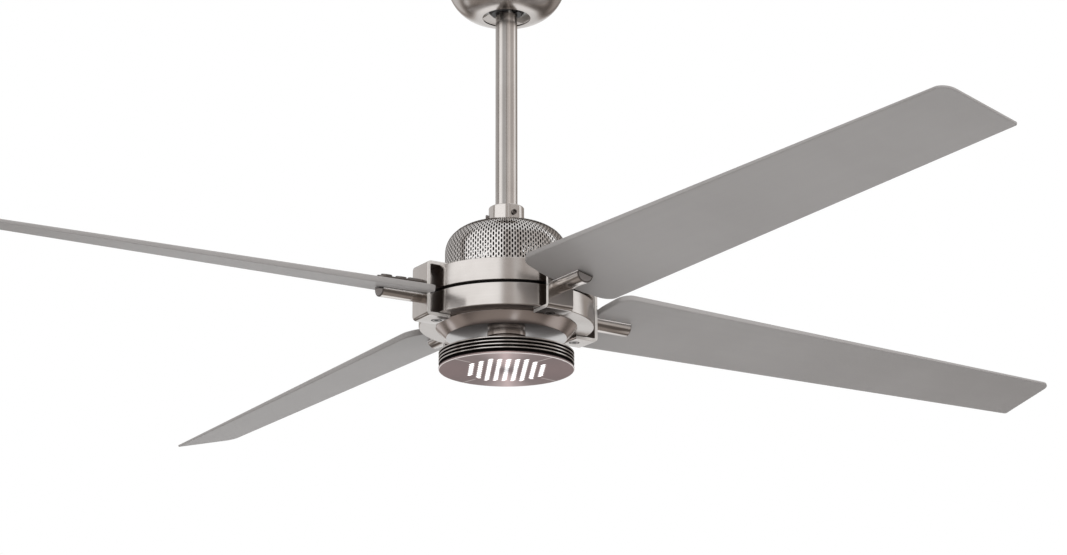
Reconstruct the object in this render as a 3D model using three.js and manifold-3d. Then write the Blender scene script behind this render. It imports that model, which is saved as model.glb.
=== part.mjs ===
// Four-blade ceiling fan: a flat motor drum of two clamped bands, a perforated cage above it and a light below.
// Millimetres, +Z up. The origin is the middle of the hanger bracket's face on the ceiling; the fan hangs down.
// At rest the blades lie along X and Y. "Counter-clockwise" is meant as seen from above.
import * as THREE from "three";
import { mergeVertices } from "three/addons/utils/BufferGeometryUtils.js";
import Module from "manifold-3d";

const wasm = await Module();
wasm.setup();

// Clearances
const seatGap = 0.3; // between pieces that touch
const cutOverrun = 1; // how far a cutting body runs past what it cuts
const weldDepth = 1; // how far a welded piece runs into the one that carries it

// Facets round a circle
const drumSides = 24;
const tubeSides = 16;
const ballSides = 24; // enough that the faceted ball turns clear in its seat
const screwSides = 8;
const curveSteps = 4; // along a rounded shoulder
const cornerSteps = 3; // round a small corner

// Hanger bracket on the ceiling
const steel = 2.5;
const bracketWidth = 36;
const earDrop = 16;
const cradleWidth = 72;
const bendRadius = 5;
const boxScrewSpacing = 88.9;
const boxSlotLength = 12;
const boxSlotWidth = 5.5;

// Hanger ball in its seat
const ballRadius = 26;
const ballDrop = 46; // from the ceiling to the ball's centre
const ballCapHeight = 16; // from the ball's centre to its flat top
const ballFootDepth = 20; // from the ball's centre to its flat foot
const ballClearance = 0.4;
const seatRingRadius = 33;
const seatRingTopDepth = 7; // below the ball's centre
const seatRingBottomDepth = 17;
const seatSlotClearance = 1.5;
const tabWidth = 3;
const tabReach = 3;
const tabTopDepth = 8;
const tabBottomDepth = 13;
const grooveWidth = 12;
const grooveDepth = 4;
const crossPinRadius = 3;
const crossPinLength = 42;
const pinClearance = 0.3;

// Canopy
const canopyRadius = 68;
const canopyWall = 1.5;
const canopyDrop = 0.6; // from the ceiling to its rim
const canopyBottomDrop = 70;
const canopyShoulderDrop = 22;
const canopyHoleRadius = 27;
const canopyScrewDrop = 9;
const canopyScrewRadius = 2.2;
const canopyScrewHeadRadius = 4.2;
const canopyScrewHeadHeight = 2.6;
const earClearance = 3.5; // between the canopy's wall and the bracket's ears inside it
const bracketLength = 2 * (canopyRadius - canopyWall - earClearance);

// Downrod, a tube twelve inches long
const rodRadius = 12.2;
const rodWall = 2.6;
const rodLength = 304.8;
const rodAbovePin = 9;
const rodEngagement = 45; // length of rod inside the collar and the coupling

// Collar and its three screws
const collarRadius = 19.5;
const collarHeight = 18.8;
const collarCrown = 3.9;
const collarScrewRadius = 2.9;
const collarScrewReach = 3.3; // how far a screw stands out of the collar
const collarScrewDrop = 8.2;
const collarScrewCount = 3;
const collarScrewTurn = -98; // degrees, of the first screw

// Perforated cage
const cageRadius = 67.3;
const cageWall = 1.8;
const cageHeight = 61.7;
const cageStraight = 27.4; // height of the straight wall
const cageShoulderReach = 43.9; // how far the rounded shoulder comes in
const cageColumns = 24;
const cageRows = 5;
const cageRimBand = 6; // bare metal under the first row, to the points of its holes
const cageCrownBand = 6; // bare metal above the last row
const cageHoleShare = 0.62; // of a hole's cell

// Motor drum
const bandRadius = 95.4;
const upperBandHeight = 24.4;
const lowerBandHeight = 24.4;
const bandBevel = 1;
const drumGroove = 3.4;
const runningGap = 1.8; // between the turning drum and the cage above it
const coverPlate = 4;
const coverWallInner = 82;
const coverHoleRadius = 14;
const bearingRadius = 21;
const bearingHeight = 8.7;
const bearingBossWall = 5.2;
const ringInner = 76;
const ringFlangeRadius = 89.8;
const ringSkirt = 16.5; // how far the ring reaches above and below the groove
const magnetThickness = 3.4;
const magnetSkirt = 11.7;
const statorGap = 0.7;
const statorTeeth = 12;
const statorHubRadius = 31;
const statorToothWidth = 9;
const statorTipDepth = 5;
const statorTipShare = 0.72; // of the angle between two teeth
const statorHalfHeight = 9.5;
const windingInner = 35;
const windingOuter = 64;
const windingOverhang = 4.5;

// Hollow shaft and the coupling that takes the rod
const shaftRadius = 10;
const shaftBore = 6;
const shaftEngagement = 14.6;
const shaftTail = 23.6; // below the drum
const couplingRadius = 17.6;
const couplingFlangeRadius = 31;
const couplingFlange = 6;
const couplingNeckRadius = 15.6;
const couplingNeckReach = 15; // into the collar
const wireBore = 7;
const rodPinRadius = 3;
const rodPinRise = 12; // from the rod's foot to its cross bolt
const cageBasePlate = 2.2;
const cageBaseLip = 1.9;
const cageBaseLipHeight = 9;
const driverLength = 36;
const driverWidth = 24;
const driverHeight = 26;
const driverCorner = 3;

// Boss, neck and light
const bossTopRadius = 77.3;
const bossBottomRadius = 65.7;
const bossHeight = 11.6;
const bossEdge = 0.8;
const bossHoleRadius = 23;
const neckRadius = 20.5;
const neckWaist = 18.5;
const neckWaistHeight = 5;
const neckVisible = 16.5;
const neckInside = 6; // how far the neck reaches up into the boss
const lightRadius = 73.6;
const lightCoreRadius = 60.5;
const lightTopPlate = 1.5;
const finCount = 3;
const finThickness = 1.5;
const finGap = 2.3;
const facePlate = 3.5;
const faceBevel = 0.7;
const lightTurn = -28.5; // degrees, of the rows of lights
const ledBoardRadius = 54.5;
const ledBoard = 1.6;
const lensPlate = 2;
const ledRowSpacing = 9.6;
const ledRowWidth = 5.1;
const ledRowHalfLengths = [45.4, 45.4, 45.4, 36.1, 25.9]; // from the middle row outwards
const lensInset = 0.4; // how far the lens stays inside the face

// Arms: C brackets, clamps and blades
const armCount = 4;
const clampPlate = 3.9;
const clampWidth = 32;
const clampOuter = 108.8; // radius of the bracket's outer face
const clampInner = 80; // radius of its flanges' ends
const clampBend = 4.9;
const clampScrewRadius = 88; // where its screws stand
const screwHeadRadius = 5.4;
const screwHeadHeight = 2.8;
const screwShankRadius = 2.6;
const screwLength = 13;
const holderRadius = 9.6;
const holderLength = 49;
const topClampLength = 52;
const topClampWidth = 14.6;
const topClampThickness = 3;
const humpRadius = 7.3;
const humpLength = 15;
const boltRadius = 2.5;
const boltHeadRadius = 6.2;
const boltHeadHeight = 4.7;
const boltBite = 5; // into the bar under the blade
const boltStations = [24.4, 42]; // from the bracket's outer face
const bladePitch = 13.8; // degrees, counter-clockwise edge low
const bladeDroop = 0.69; // degrees
const bladeAxisRise = 2; // above the middle of the drum
const sweepRadius = 762;
const bladeRootRadius = clampOuter + 2 * seatGap;
const bladeRootHalfWidth = 57.8;
const bladeTipHalfWidth = 42.2;
const bladeRootThickness = 7.3;
const bladeTipThickness = 2.5;
const rootFlatHalfWidth = 21.5; // of the straight middle of the root
const rootSetBack = 9.5; // the root's corners are this much farther out than its middle
const tipSlant = 1; // the tip's clockwise corner is this much farther out than the other
const rootCorner = 14;
const tipCornerOut = 3; // counter-clockwise corner of the tip
const tipCornerIn = 13; // clockwise corner of the tip

// Levels, from the ceiling down
const ballLevel = -ballDrop;
const rodTop = ballLevel + rodAbovePin;
const rodBottom = rodTop - rodLength;
const collarTop = rodBottom + rodEngagement;
const collarBottom = collarTop - collarHeight;
const cageTop = collarBottom - seatGap;
const cageRim = cageTop - cageHeight;
const bandTop = cageRim - runningGap;
const grooveTop = bandTop - upperBandHeight;
const grooveBottom = grooveTop - drumGroove;
const bandBottom = grooveBottom - lowerBandHeight;
const bladeLevel = (bandTop + bandBottom) / 2 + bladeAxisRise;
const bossTop = bandBottom - seatGap;
const bossBottom = bossTop - bossHeight;
const lightTop = bossBottom - neckVisible;
const lightBodyBottom = lightTop - lightTopPlate - finCount * finThickness - (finCount + 1) * finGap;
const faceTop = lightBodyBottom - seatGap;
const faceBottom = faceTop - facePlate;
const statorLevel = (grooveTop + grooveBottom) / 2;
const windingHalfHeight = statorHalfHeight + windingOverhang;
const statorRadius = ringInner - seatGap - magnetThickness - statorGap;
const coverBoreRadius = bearingRadius + seatGap;

// Finishes
const brushedNickel = new THREE.MeshStandardMaterial({ color: 0xb4afaa, roughness: 0.34, metalness: 1 });
const polishedNickel = new THREE.MeshStandardMaterial({ color: 0xc2bdb8, roughness: 0.16, metalness: 1 });
const bladeSilver = new THREE.MeshStandardMaterial({ color: 0x9b9894, roughness: 0.48, metalness: 0.45 });
const darkSteel = new THREE.MeshStandardMaterial({ color: 0x17130f, roughness: 0.6, metalness: 0.4 });
const zincSteel = new THREE.MeshStandardMaterial({ color: 0x9a9c9e, roughness: 0.45, metalness: 0.9 });
const copper = new THREE.MeshStandardMaterial({ color: 0x9c5a2e, roughness: 0.4, metalness: 0.8 });
const magnetBlack = new THREE.MeshStandardMaterial({ color: 0x2a2a2c, roughness: 0.7, metalness: 0.1 });
const lampWhite = new THREE.MeshStandardMaterial({ color: 0xf7f6f2, roughness: 0.3, metalness: 0 });
const blackPlastic = new THREE.MeshStandardMaterial({ color: 0x1c1c1e, roughness: 0.55, metalness: 0 });

// Solids and geometries

// A closed geometry as a solid, with its shared vertices merged and its empty triangles dropped.
function solidOf(geometry) {
  const bare = new THREE.BufferGeometry();
  bare.setAttribute("position", geometry.getAttribute("position").clone());
  if (geometry.index) bare.setIndex(geometry.index.clone());
  const merged = mergeVertices(bare);
  const corners = merged.index.array;
  const kept = [];
  for (let i = 0; i < corners.length; i += 3) {
    const [a, b, c] = corners.subarray(i, i + 3);
    if (a !== b && b !== c && c !== a) kept.push(a, b, c);
  }
  return new wasm.Manifold(
    new wasm.Mesh({
      numProp: 3,
      vertProperties: merged.getAttribute("position").array,
      triVerts: new Uint32Array(kept),
    }),
  );
}

// A solid's triangles as a geometry.
function geometryOf(solid) {
  const mesh = solid.getMesh();
  const geometry = new THREE.BufferGeometry();
  geometry.setAttribute("position", new THREE.BufferAttribute(mesh.vertProperties, 3));
  geometry.setIndex(new THREE.BufferAttribute(mesh.triVerts, 1));
  geometry.computeVertexNormals();
  return geometry;
}

function cut(base, ...tools) {
  return geometryOf(tools.reduce((rest, tool) => rest.subtract(solidOf(tool)), solidOf(base)));
}

function join(base, ...others) {
  return geometryOf(others.reduce((whole, other) => whole.add(solidOf(other)), solidOf(base)));
}

// A solid of revolution about Z from [radius, level] points listed once round, in either sense.
function revolve(points, sides) {
  const area = points.reduce((sum, [r, z], i) => {
    const [nextR, nextZ] = points[(i + 1) % points.length];
    return sum + r * nextZ - nextR * z;
  }, 0);
  const ordered = area > 0 ? points : [...points].reverse();
  const profile = [...ordered, ordered[0]].map(([r, z]) => new THREE.Vector2(r, z));
  return new THREE.LatheGeometry(profile, sides).rotateX(Math.PI / 2);
}

function tube(inner, outer, bottom, top, sides) {
  return revolve([[inner, bottom], [outer, bottom], [outer, top], [inner, top]], sides);
}

function rod(radius, bottom, top, sides) {
  return tube(0, radius, bottom, top, sides);
}

// Points of a quarter ellipse about (centreR, centreZ), from fromAngle to toAngle in quarter turns.
function quarter(centreR, centreZ, reachR, reachZ, fromQuarter, toQuarter, steps) {
  return Array.from({ length: steps + 1 }, (_, i) => {
    const angle = ((fromQuarter + ((toQuarter - fromQuarter) * i) / steps) * Math.PI) / 2;
    return [centreR + reachR * Math.cos(angle), centreZ + reachZ * Math.sin(angle)];
  });
}

// A plate of the given outline and holes, lists of [x, y], between two levels.
function plate(outline, holes, bottom, top) {
  const shape = new THREE.Shape(outline.map(([x, y]) => new THREE.Vector2(x, y)));
  for (const hole of holes) shape.holes.push(new THREE.Path(hole.map(([x, y]) => new THREE.Vector2(x, y))));
  const slab = new THREE.ExtrudeGeometry(shape, { depth: top - bottom, bevelEnabled: false });
  return slab.translate(0, 0, bottom);
}

// An outline in the radius and height plane, carried along the tangent over the given width.
function sidewaysBar(outline, holes, width) {
  return plate(outline, holes, -width / 2, width / 2).rotateX(Math.PI / 2);
}

function block(fromX, toX, width, bottom, top) {
  return new THREE.BoxGeometry(toX - fromX, width, top - bottom)
    .translate((fromX + toX) / 2, 0, (top + bottom) / 2);
}

function circleOutline(radius, sides) {
  return Array.from({ length: sides }, (_, i) => {
    const angle = (i * 2 * Math.PI) / sides;
    return [radius * Math.cos(angle), radius * Math.sin(angle)];
  });
}

// A slot with round ends along Y, about (x, 0).
function slotOutline(x, halfLength, halfWidth, sides) {
  const straight = halfLength - halfWidth;
  return Array.from({ length: sides + 2 }, (_, i) => {
    const top = i <= sides / 2;
    const angle = ((top ? i : i - 1) * 2 * Math.PI) / sides;
    return [x + halfWidth * Math.cos(angle), (top ? straight : -straight) + halfWidth * Math.sin(angle)];
  });
}

// An outline of [x, y, corner size] points with each corner rounded off by a curve.
function softOutline(corners, steps) {
  return corners.flatMap(([x, y, size], i) => {
    const [beforeX, beforeY] = corners[(i + corners.length - 1) % corners.length];
    const [afterX, afterY] = corners[(i + 1) % corners.length];
    const corner = new THREE.Vector2(x, y);
    if (size === 0) return [[x, y]];
    const before = new THREE.Vector2(beforeX, beforeY);
    const after = new THREE.Vector2(afterX, afterY);
    const from = corner.clone().lerp(before, size / corner.distanceTo(before));
    const to = corner.clone().lerp(after, size / corner.distanceTo(after));
    return new THREE.QuadraticBezierCurve(from, corner, to).getPoints(steps).map((p) => [p.x, p.y]);
  });
}

// The scene: still pieces in one group, the turning drum and its arms in another.
const fan = new THREE.Group();
const drum = new THREE.Group();
fan.add(drum);

function addPiece(name, geometry, material, parent = fan) {
  const mesh = new THREE.Mesh(geometry, material);
  mesh.name = name;
  parent.add(mesh);
  return mesh;
}

// Ceiling side

function hangerBracket() {
  const half = bracketLength / 2;
  const arm = cradleWidth / 2;
  const foot = ballLevel - seatRingBottomDepth;
  const outline = softOutline(
    [
      [-half, -earDrop, 0],
      [-half, 0, 0],
      [half, 0, 0],
      [half, -earDrop, 0],
      [half - steel, -earDrop, 0],
      [half - steel, -steel, 0],
      [arm, -steel, 0],
      [arm, foot, bendRadius],
      [-arm, foot, bendRadius],
      [-arm, -steel, 0],
      [steel - half, -steel, 0],
      [steel - half, -earDrop, 0],
    ].reverse(),
    cornerSteps,
  );
  const opening = softOutline(
    [
      [steel - arm, -steel, 0],
      [arm - steel, -steel, 0],
      [arm - steel, foot + steel, bendRadius - steel],
      [steel - arm, foot + steel, bendRadius - steel],
    ],
    cornerSteps,
  );
  const strap = sidewaysBar(outline, [opening], bracketWidth);
  const seatTop = ballLevel - seatRingTopDepth;
  const seatRing = rod(seatRingRadius, foot, seatTop, tubeSides);
  const ballSpace = new THREE.SphereGeometry(ballRadius + ballClearance, ballSides, ballSides / 2)
    .rotateX(Math.PI / 2)
    .translate(0, 0, ballLevel);
  const slotHalf = rodRadius + seatSlotClearance;
  const slotReach = seatRingRadius + cutOverrun;
  const entrySlot = new THREE.BoxGeometry(2 * slotHalf, slotReach, seatTop - foot + 2 * cutOverrun)
    .translate(0, slotReach / 2, (seatTop + foot) / 2);
  const boxSlots = [-1, 1].map((side) =>
    plate(slotOutline(0, boxSlotLength / 2, boxSlotWidth / 2, screwSides), [], -steel - cutOverrun, cutOverrun)
      .rotateZ(Math.PI / 2)
      .translate((side * boxScrewSpacing) / 2, 0, 0),
  );
  const earHole = rod(canopyScrewRadius + pinClearance, -half - cutOverrun, half + cutOverrun, screwSides)
    .rotateY(Math.PI / 2)
    .translate(0, 0, -canopyScrewDrop);
  const armTunnel = block(-arm, arm, bracketWidth + 2 * cutOverrun, -earDrop, -steel);
  const holes = cut(earHole, armTunnel);
  const seated = cut(join(strap, seatRing), ballSpace, entrySlot, ...boxSlots, holes);
  const tabOuter = seatRingRadius - weldDepth;
  const tab = new THREE.BoxGeometry(tabWidth, tabOuter - ballRadius + tabReach, tabBottomDepth - tabTopDepth)
    .translate(0, (tabReach - ballRadius - tabOuter) / 2, ballLevel - (tabTopDepth + tabBottomDepth) / 2);
  return join(seated, tab);
}

function canopy() {
  const rim = -canopyDrop;
  const bottom = -canopyBottomDrop;
  const shoulder = -canopyShoulderDrop;
  const reach = canopyRadius - canopyHoleRadius;
  const depth = shoulder - bottom;
  const outside = quarter(canopyHoleRadius, shoulder, reach, depth, 0, -1, curveSteps);
  const inside = quarter(canopyHoleRadius, shoulder, reach - canopyWall, depth - canopyWall, -1, 0, curveSteps);
  const profile = [[canopyRadius, rim], ...outside, ...inside, [canopyRadius - canopyWall, rim]];
  const shell = revolve(profile, drumSides);
  const screwHoles = rod(
    canopyScrewRadius + pinClearance,
    -canopyRadius - cutOverrun,
    canopyRadius + cutOverrun,
    screwSides,
  )
    .rotateY(Math.PI / 2)
    .translate(0, 0, -canopyScrewDrop);
  return cut(shell, screwHoles);
}

function canopyScrew() {
  const start = bracketLength / 2 - 2 * steel;
  const seat = canopyRadius + seatGap;
  const end = seat + canopyScrewHeadHeight;
  return revolve(
    [
      [0, start],
      [canopyScrewRadius, start],
      [canopyScrewRadius, seat],
      [canopyScrewHeadRadius, seat],
      [canopyScrewHeadRadius, (seat + end) / 2],
      [canopyScrewRadius, end],
      [0, end],
    ],
    screwSides,
  )
    .rotateY(Math.PI / 2)
    .translate(0, 0, -canopyScrewDrop);
}

function hangerBall() {
  const capAngle = Math.asin(ballCapHeight / ballRadius) / (Math.PI / 2);
  const footAngle = -Math.asin(ballFootDepth / ballRadius) / (Math.PI / 2);
  const bore = rodRadius + seatGap;
  const side = quarter(0, ballLevel, ballRadius, ballRadius, footAngle, capAngle, 2 * curveSteps);
  const profile = [[bore, ballLevel - ballFootDepth], ...side, [bore, ballLevel + ballCapHeight]];
  const body = revolve(profile, ballSides);
  const pinHole = crossHole(crossPinRadius + pinClearance, ballRadius, ballLevel);
  // The groove's floor is round about the axis the ball rolls on, so the bracket's tab slides along it.
  const grooveFloor = rod(ballRadius - grooveDepth, -grooveWidth, grooveWidth, ballSides)
    .rotateY(Math.PI / 2)
    .translate(0, 0, ballLevel);
  const grooveSide = new THREE.BoxGeometry(grooveWidth, ballRadius + cutOverrun, 2 * ballRadius)
    .translate(0, -(ballRadius + cutOverrun) / 2, ballLevel);
  return cut(body, pinHole, cut(grooveSide, grooveFloor));
}

// A round cutter along Y at a level, past the given reach on both sides.
function crossHole(radius, reach, level) {
  return crossPin(radius, 2 * (reach + cutOverrun), level);
}

function crossPin(radius, length, level) {
  return rod(radius, -length / 2, length / 2, screwSides).rotateX(Math.PI / 2).translate(0, 0, level);
}

addPiece("hanger_bracket", hangerBracket(), zincSteel);
addPiece("canopy", canopy(), brushedNickel);
addPiece("canopy_screw_1", canopyScrew(), brushedNickel);
addPiece("canopy_screw_2", canopyScrew().rotateZ(Math.PI), brushedNickel);
addPiece("hanger_pin", crossPin(crossPinRadius, crossPinLength, ballLevel), zincSteel);
addPiece("hanger_ball", hangerBall(), blackPlastic);

// Rod, coupling and collar

const rodPinLevel = rodBottom + rodPinRise;
const couplingFoot = cageRim + cageBasePlate + seatGap;
const couplingShoulder = cageTop - cageWall - seatGap;

function downrod() {
  const pipe = tube(rodRadius - rodWall, rodRadius, rodBottom, rodTop, tubeSides);
  return cut(
    pipe,
    crossHole(crossPinRadius + pinClearance, rodRadius, ballLevel),
    crossHole(rodPinRadius + pinClearance, rodRadius, rodPinLevel),
  );
}

function coupling() {
  const flangeTop = couplingFoot + couplingFlange;
  const shaftStop = couplingFoot + shaftEngagement + seatGap;
  const rodStop = rodBottom - seatGap;
  const top = collarBottom + couplingNeckReach;
  const body = revolve(
    [
      [shaftRadius + seatGap, couplingFoot],
      [couplingFlangeRadius, couplingFoot],
      [couplingFlangeRadius, flangeTop],
      [couplingRadius, flangeTop],
      [couplingRadius, couplingShoulder],
      [couplingNeckRadius, couplingShoulder],
      [couplingNeckRadius, top],
      [rodRadius + seatGap, top],
      [rodRadius + seatGap, rodStop],
      [wireBore, rodStop],
      [wireBore, shaftStop],
      [shaftRadius + seatGap, shaftStop],
    ],
    tubeSides,
  );
  return cut(body, crossHole(rodPinRadius + pinClearance, couplingRadius, rodPinLevel), ...collarScrewHoles());
}

function collarScrewHoles() {
  const level = collarTop - collarScrewDrop;
  return collarScrewAngles().map((angle) =>
    rod(collarScrewRadius + pinClearance, rodRadius, collarRadius + cutOverrun, screwSides)
      .rotateY(Math.PI / 2)
      .rotateZ(angle)
      .translate(0, 0, level),
  );
}

function collarScrewAngles() {
  return Array.from({ length: collarScrewCount }, (_, i) =>
    THREE.MathUtils.degToRad(collarScrewTurn) + (i * 2 * Math.PI) / collarScrewCount,
  );
}

function collar() {
  const bore = couplingNeckRadius + seatGap;
  const ceiling = collarBottom + couplingNeckReach + seatGap;
  const crownCentre = [collarRadius - collarCrown, collarTop - collarCrown];
  const crown = quarter(...crownCentre, collarCrown, collarCrown, 0, 1, cornerSteps);
  const body = revolve(
    [
      [bore, collarBottom],
      [collarRadius, collarBottom],
      ...crown,
      [rodRadius + seatGap, collarTop],
      [rodRadius + seatGap, ceiling],
      [bore, ceiling],
    ],
    tubeSides,
  );
  return cut(body, ...collarScrewHoles());
}

function collarScrew(angle) {
  return rod(collarScrewRadius, rodRadius + seatGap, collarRadius + collarScrewReach, screwSides)
    .rotateY(Math.PI / 2)
    .rotateZ(angle)
    .translate(0, 0, collarTop - collarScrewDrop);
}

addPiece("downrod", downrod(), brushedNickel);
addPiece("coupling", coupling(), zincSteel);
addPiece("rod_pin", crossPin(rodPinRadius, 2 * couplingRadius, rodPinLevel), zincSteel);
addPiece("collar", collar(), brushedNickel);
collarScrewAngles().forEach((angle, i) => {
  addPiece("collar_screw_" + (i + 1), collarScrew(angle), polishedNickel);
});

// Cage: a domed sheet with staggered rows of pointed holes, spaced evenly along the sheet's profile.

function cagePath() {
  const path = new THREE.Path();
  path.moveTo(cageRadius, cageRim);
  path.lineTo(cageRadius, cageRim + cageStraight);
  path.absellipse(
    cageRadius - cageShoulderReach,
    cageRim + cageStraight,
    cageShoulderReach,
    cageHeight - cageStraight,
    0,
    Math.PI / 2,
    false,
  );
  path.lineTo(couplingNeckRadius + seatGap, cageTop);
  return path;
}

function cage() {
  const path = cagePath();
  const length = path.getLength();
  const rowStep = (length - cageRimBand - cageCrownBand) / (cageRows + 1);
  const fullCell = 2; // turns are counted in half cells
  const halfCell = (2 * Math.PI) / (cageColumns * fullCell);
  const positions = [];
  const triangles = [];

  // A point of the sheet at a turn in half cells and a distance along the profile, on its outer or inner side.
  function point(turn, distance, inside) {
    const share = Math.min(Math.max(distance / length, 0), 1);
    const at = path.getPointAt(share);
    const along = path.getTangentAt(share);
    const depth = inside ? cageWall : 0;
    const r = at.x - along.y * depth;
    const z = at.y + along.x * depth;
    positions.push(r * Math.cos(turn * halfCell), r * Math.sin(turn * halfCell), z);
    return positions.length / 3 - 1;
  }

  function face(corners, inside) {
    const order = inside ? [...corners].reverse() : corners;
    for (let i = 1; i + 1 < order.length; i++) triangles.push(order[0], order[i], order[i + 1]);
  }

  // The edge of the sheet between two places on it.
  function edge([turn, distance], [nextTurn, nextDistance]) {
    const from = [point(turn, distance, false), point(nextTurn, nextDistance, false)];
    face([...from, point(nextTurn, nextDistance, true), point(turn, distance, true)], false);
  }

  const rowAt = (row) => cageRimBand + (row + 1) * rowStep;
  const cells = Array.from({ length: cageRows * cageColumns }, (_, i) => {
    const row = Math.floor(i / cageColumns);
    return [(i % cageColumns) * fullCell + (row % 2), row];
  });
  const cellAt = ([turn, row], share) =>
    [[0, -share], [share, 0], [0, share], [-share, 0]].map(([t, r]) => [turn + t, rowAt(row + r)]);
  for (const inside of [false, true]) {
    for (const cell of cells) {
      const outer = cellAt(cell, 1).map(([turn, distance]) => point(turn, distance, inside));
      const hole = cellAt(cell, cageHoleShare).map(([turn, distance]) => point(turn, distance, inside));
      outer.forEach((corner, i) => {
        const next = (i + 1) % outer.length;
        face([corner, outer[next], hole[next], hole[i]], inside);
      });
    }
  }
  for (const cell of cells) {
    const hole = cellAt(cell, cageHoleShare);
    hole.forEach((corner, i) => edge(corner, hole[(i + 1) % hole.length]));
  }
  // The notches below the first row and above the last, the bare bands beside them, and the sheet's two ends.
  const lastShift = (cageRows - 1) % 2;
  for (let column = 0; column < cageColumns; column++) {
    const low = column * fullCell;
    const high = low + lastShift;
    const bands = [
      [low, low + fullCell, low + fullCell / 2, 0, rowAt(-1), rowAt(0)],
      [high + fullCell, high, high + fullCell / 2, length, rowAt(cageRows), rowAt(cageRows - 1)],
    ];
    for (const [from, to, middle, end, base, tip] of bands) {
      for (const inside of [false, true]) {
        face([point(from, base, inside), point(to, base, inside), point(middle, tip, inside)], inside);
        face([[from, end], [to, end], [to, base], [from, base]].map(([t, d]) => point(t, d, inside)), inside);
      }
      edge([to, end], [from, end]);
    }
  }
  const sheet = new THREE.BufferGeometry();
  sheet.setAttribute("position", new THREE.Float32BufferAttribute(positions, 3));
  sheet.setIndex(triangles);
  return geometryOf(solidOf(sheet));
}

function cageBase() {
  const edge = cageRadius - cageWall - 2 * seatGap;
  return revolve(
    [
      [shaftRadius + seatGap, cageRim],
      [edge, cageRim],
      [edge, cageRim + cageBaseLipHeight],
      [edge - cageBaseLip, cageRim + cageBaseLipHeight],
      [edge - cageBaseLip, cageRim + cageBasePlate],
      [shaftRadius + seatGap, cageRim + cageBasePlate],
    ],
    cageColumns,
  );
}

function driverBox() {
  const inner = couplingFlangeRadius + 2 * seatGap;
  const half = driverLength / 2;
  const bottom = cageRim + cageBasePlate + seatGap;
  return plate(
    softOutline(
      [
        [inner, -half, driverCorner],
        [inner + driverWidth, -half, driverCorner],
        [inner + driverWidth, half, driverCorner],
        [inner, half, driverCorner],
      ],
      cornerSteps,
    ),
    [],
    bottom,
    bottom + driverHeight,
  );
}

addPiece("cage", cage(), polishedNickel);
addPiece("cage_base", cageBase(), darkSteel);
addPiece("driver_box", driverBox(), blackPlastic);

// Motor: shaft, stator, and the drum that turns round them

function statorOutline(grow) {
  const hub = statorHubRadius + grow;
  const neckHalf = statorToothWidth / 2 + grow;
  const tipInner = statorRadius - statorTipDepth - grow;
  const tipOuter = statorRadius + grow;
  const tipHalf = (statorTipShare * Math.PI) / statorTeeth;
  const around = [
    [Math.sqrt(hub * hub - neckHalf * neckHalf), -neckHalf],
    [tipInner, -neckHalf],
    [tipInner * Math.cos(tipHalf), -tipInner * Math.sin(tipHalf)],
    [tipOuter * Math.cos(tipHalf), -tipOuter * Math.sin(tipHalf)],
    [tipOuter, 0],
    [tipOuter * Math.cos(tipHalf), tipOuter * Math.sin(tipHalf)],
    [tipInner * Math.cos(tipHalf), tipInner * Math.sin(tipHalf)],
    [tipInner, neckHalf],
    [Math.sqrt(hub * hub - neckHalf * neckHalf), neckHalf],
  ];
  return Array.from({ length: statorTeeth }, (_, tooth) => {
    const angle = (tooth * 2 * Math.PI) / statorTeeth;
    return around.map(([x, y]) => [
      x * Math.cos(angle) - y * Math.sin(angle),
      x * Math.sin(angle) + y * Math.cos(angle),
    ]);
  }).flat();
}

function statorCore() {
  return plate(
    statorOutline(0),
    [circleOutline(shaftRadius + seatGap, tubeSides)],
    statorLevel - statorHalfHeight,
    statorLevel + statorHalfHeight,
  );
}

function statorWinding() {
  const coils = tube(
    windingInner,
    windingOuter,
    statorLevel - windingHalfHeight,
    statorLevel + windingHalfHeight,
    tubeSides,
  );
  const core = plate(
    statorOutline(seatGap),
    [],
    statorLevel - statorHalfHeight - seatGap,
    statorLevel + statorHalfHeight + seatGap,
  );
  return cut(coils, core);
}

// A motor cover with its plate at one level, its rim at the other, and holes for the brackets' screws.
function motorCover(face, rim) {
  const inward = Math.sign(rim - face);
  const plateInside = face + inward * coverPlate;
  const bossEnd = plateInside + inward * (bearingHeight + 2 * seatGap);
  const body = revolve(
    [
      [coverHoleRadius, face],
      [bandRadius - bandBevel, face],
      [bandRadius, face + inward * bandBevel],
      [bandRadius, rim],
      [coverWallInner, rim],
      [coverWallInner, plateInside],
      [coverBoreRadius + bearingBossWall, plateInside],
      [coverBoreRadius + bearingBossWall, bossEnd],
      [coverBoreRadius, bossEnd],
      [coverBoreRadius, plateInside],
      [coverHoleRadius, plateInside],
    ],
    drumSides,
  );
  const holeEnds = [face - inward * cutOverrun, face + inward * (screwLength - clampPlate + seatGap)];
  const holeRadius = screwShankRadius + pinClearance;
  const holes = armAngles().map((angle) =>
    rod(holeRadius, Math.min(...holeEnds), Math.max(...holeEnds), screwSides)
      .translate(clampScrewRadius, 0, 0)
      .rotateZ(angle),
  );
  return cut(body, ...holes);
}

function armAngles() {
  return Array.from({ length: armCount }, (_, arm) => (arm * 2 * Math.PI) / armCount);
}

function rotorRing() {
  const outer = coverWallInner - seatGap;
  const flangeTop = grooveTop - seatGap;
  const flangeBottom = grooveBottom + seatGap;
  return revolve(
    [
      [ringInner, flangeBottom - ringSkirt],
      [outer, flangeBottom - ringSkirt],
      [outer, flangeBottom],
      [ringFlangeRadius, flangeBottom],
      [ringFlangeRadius, flangeTop],
      [outer, flangeTop],
      [outer, flangeTop + ringSkirt],
      [ringInner, flangeTop + ringSkirt],
    ],
    drumSides,
  );
}

function magnetRing() {
  const outer = ringInner - seatGap;
  return tube(
    outer - magnetThickness,
    outer,
    statorLevel - magnetSkirt,
    statorLevel + magnetSkirt,
    drumSides,
  );
}

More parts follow.
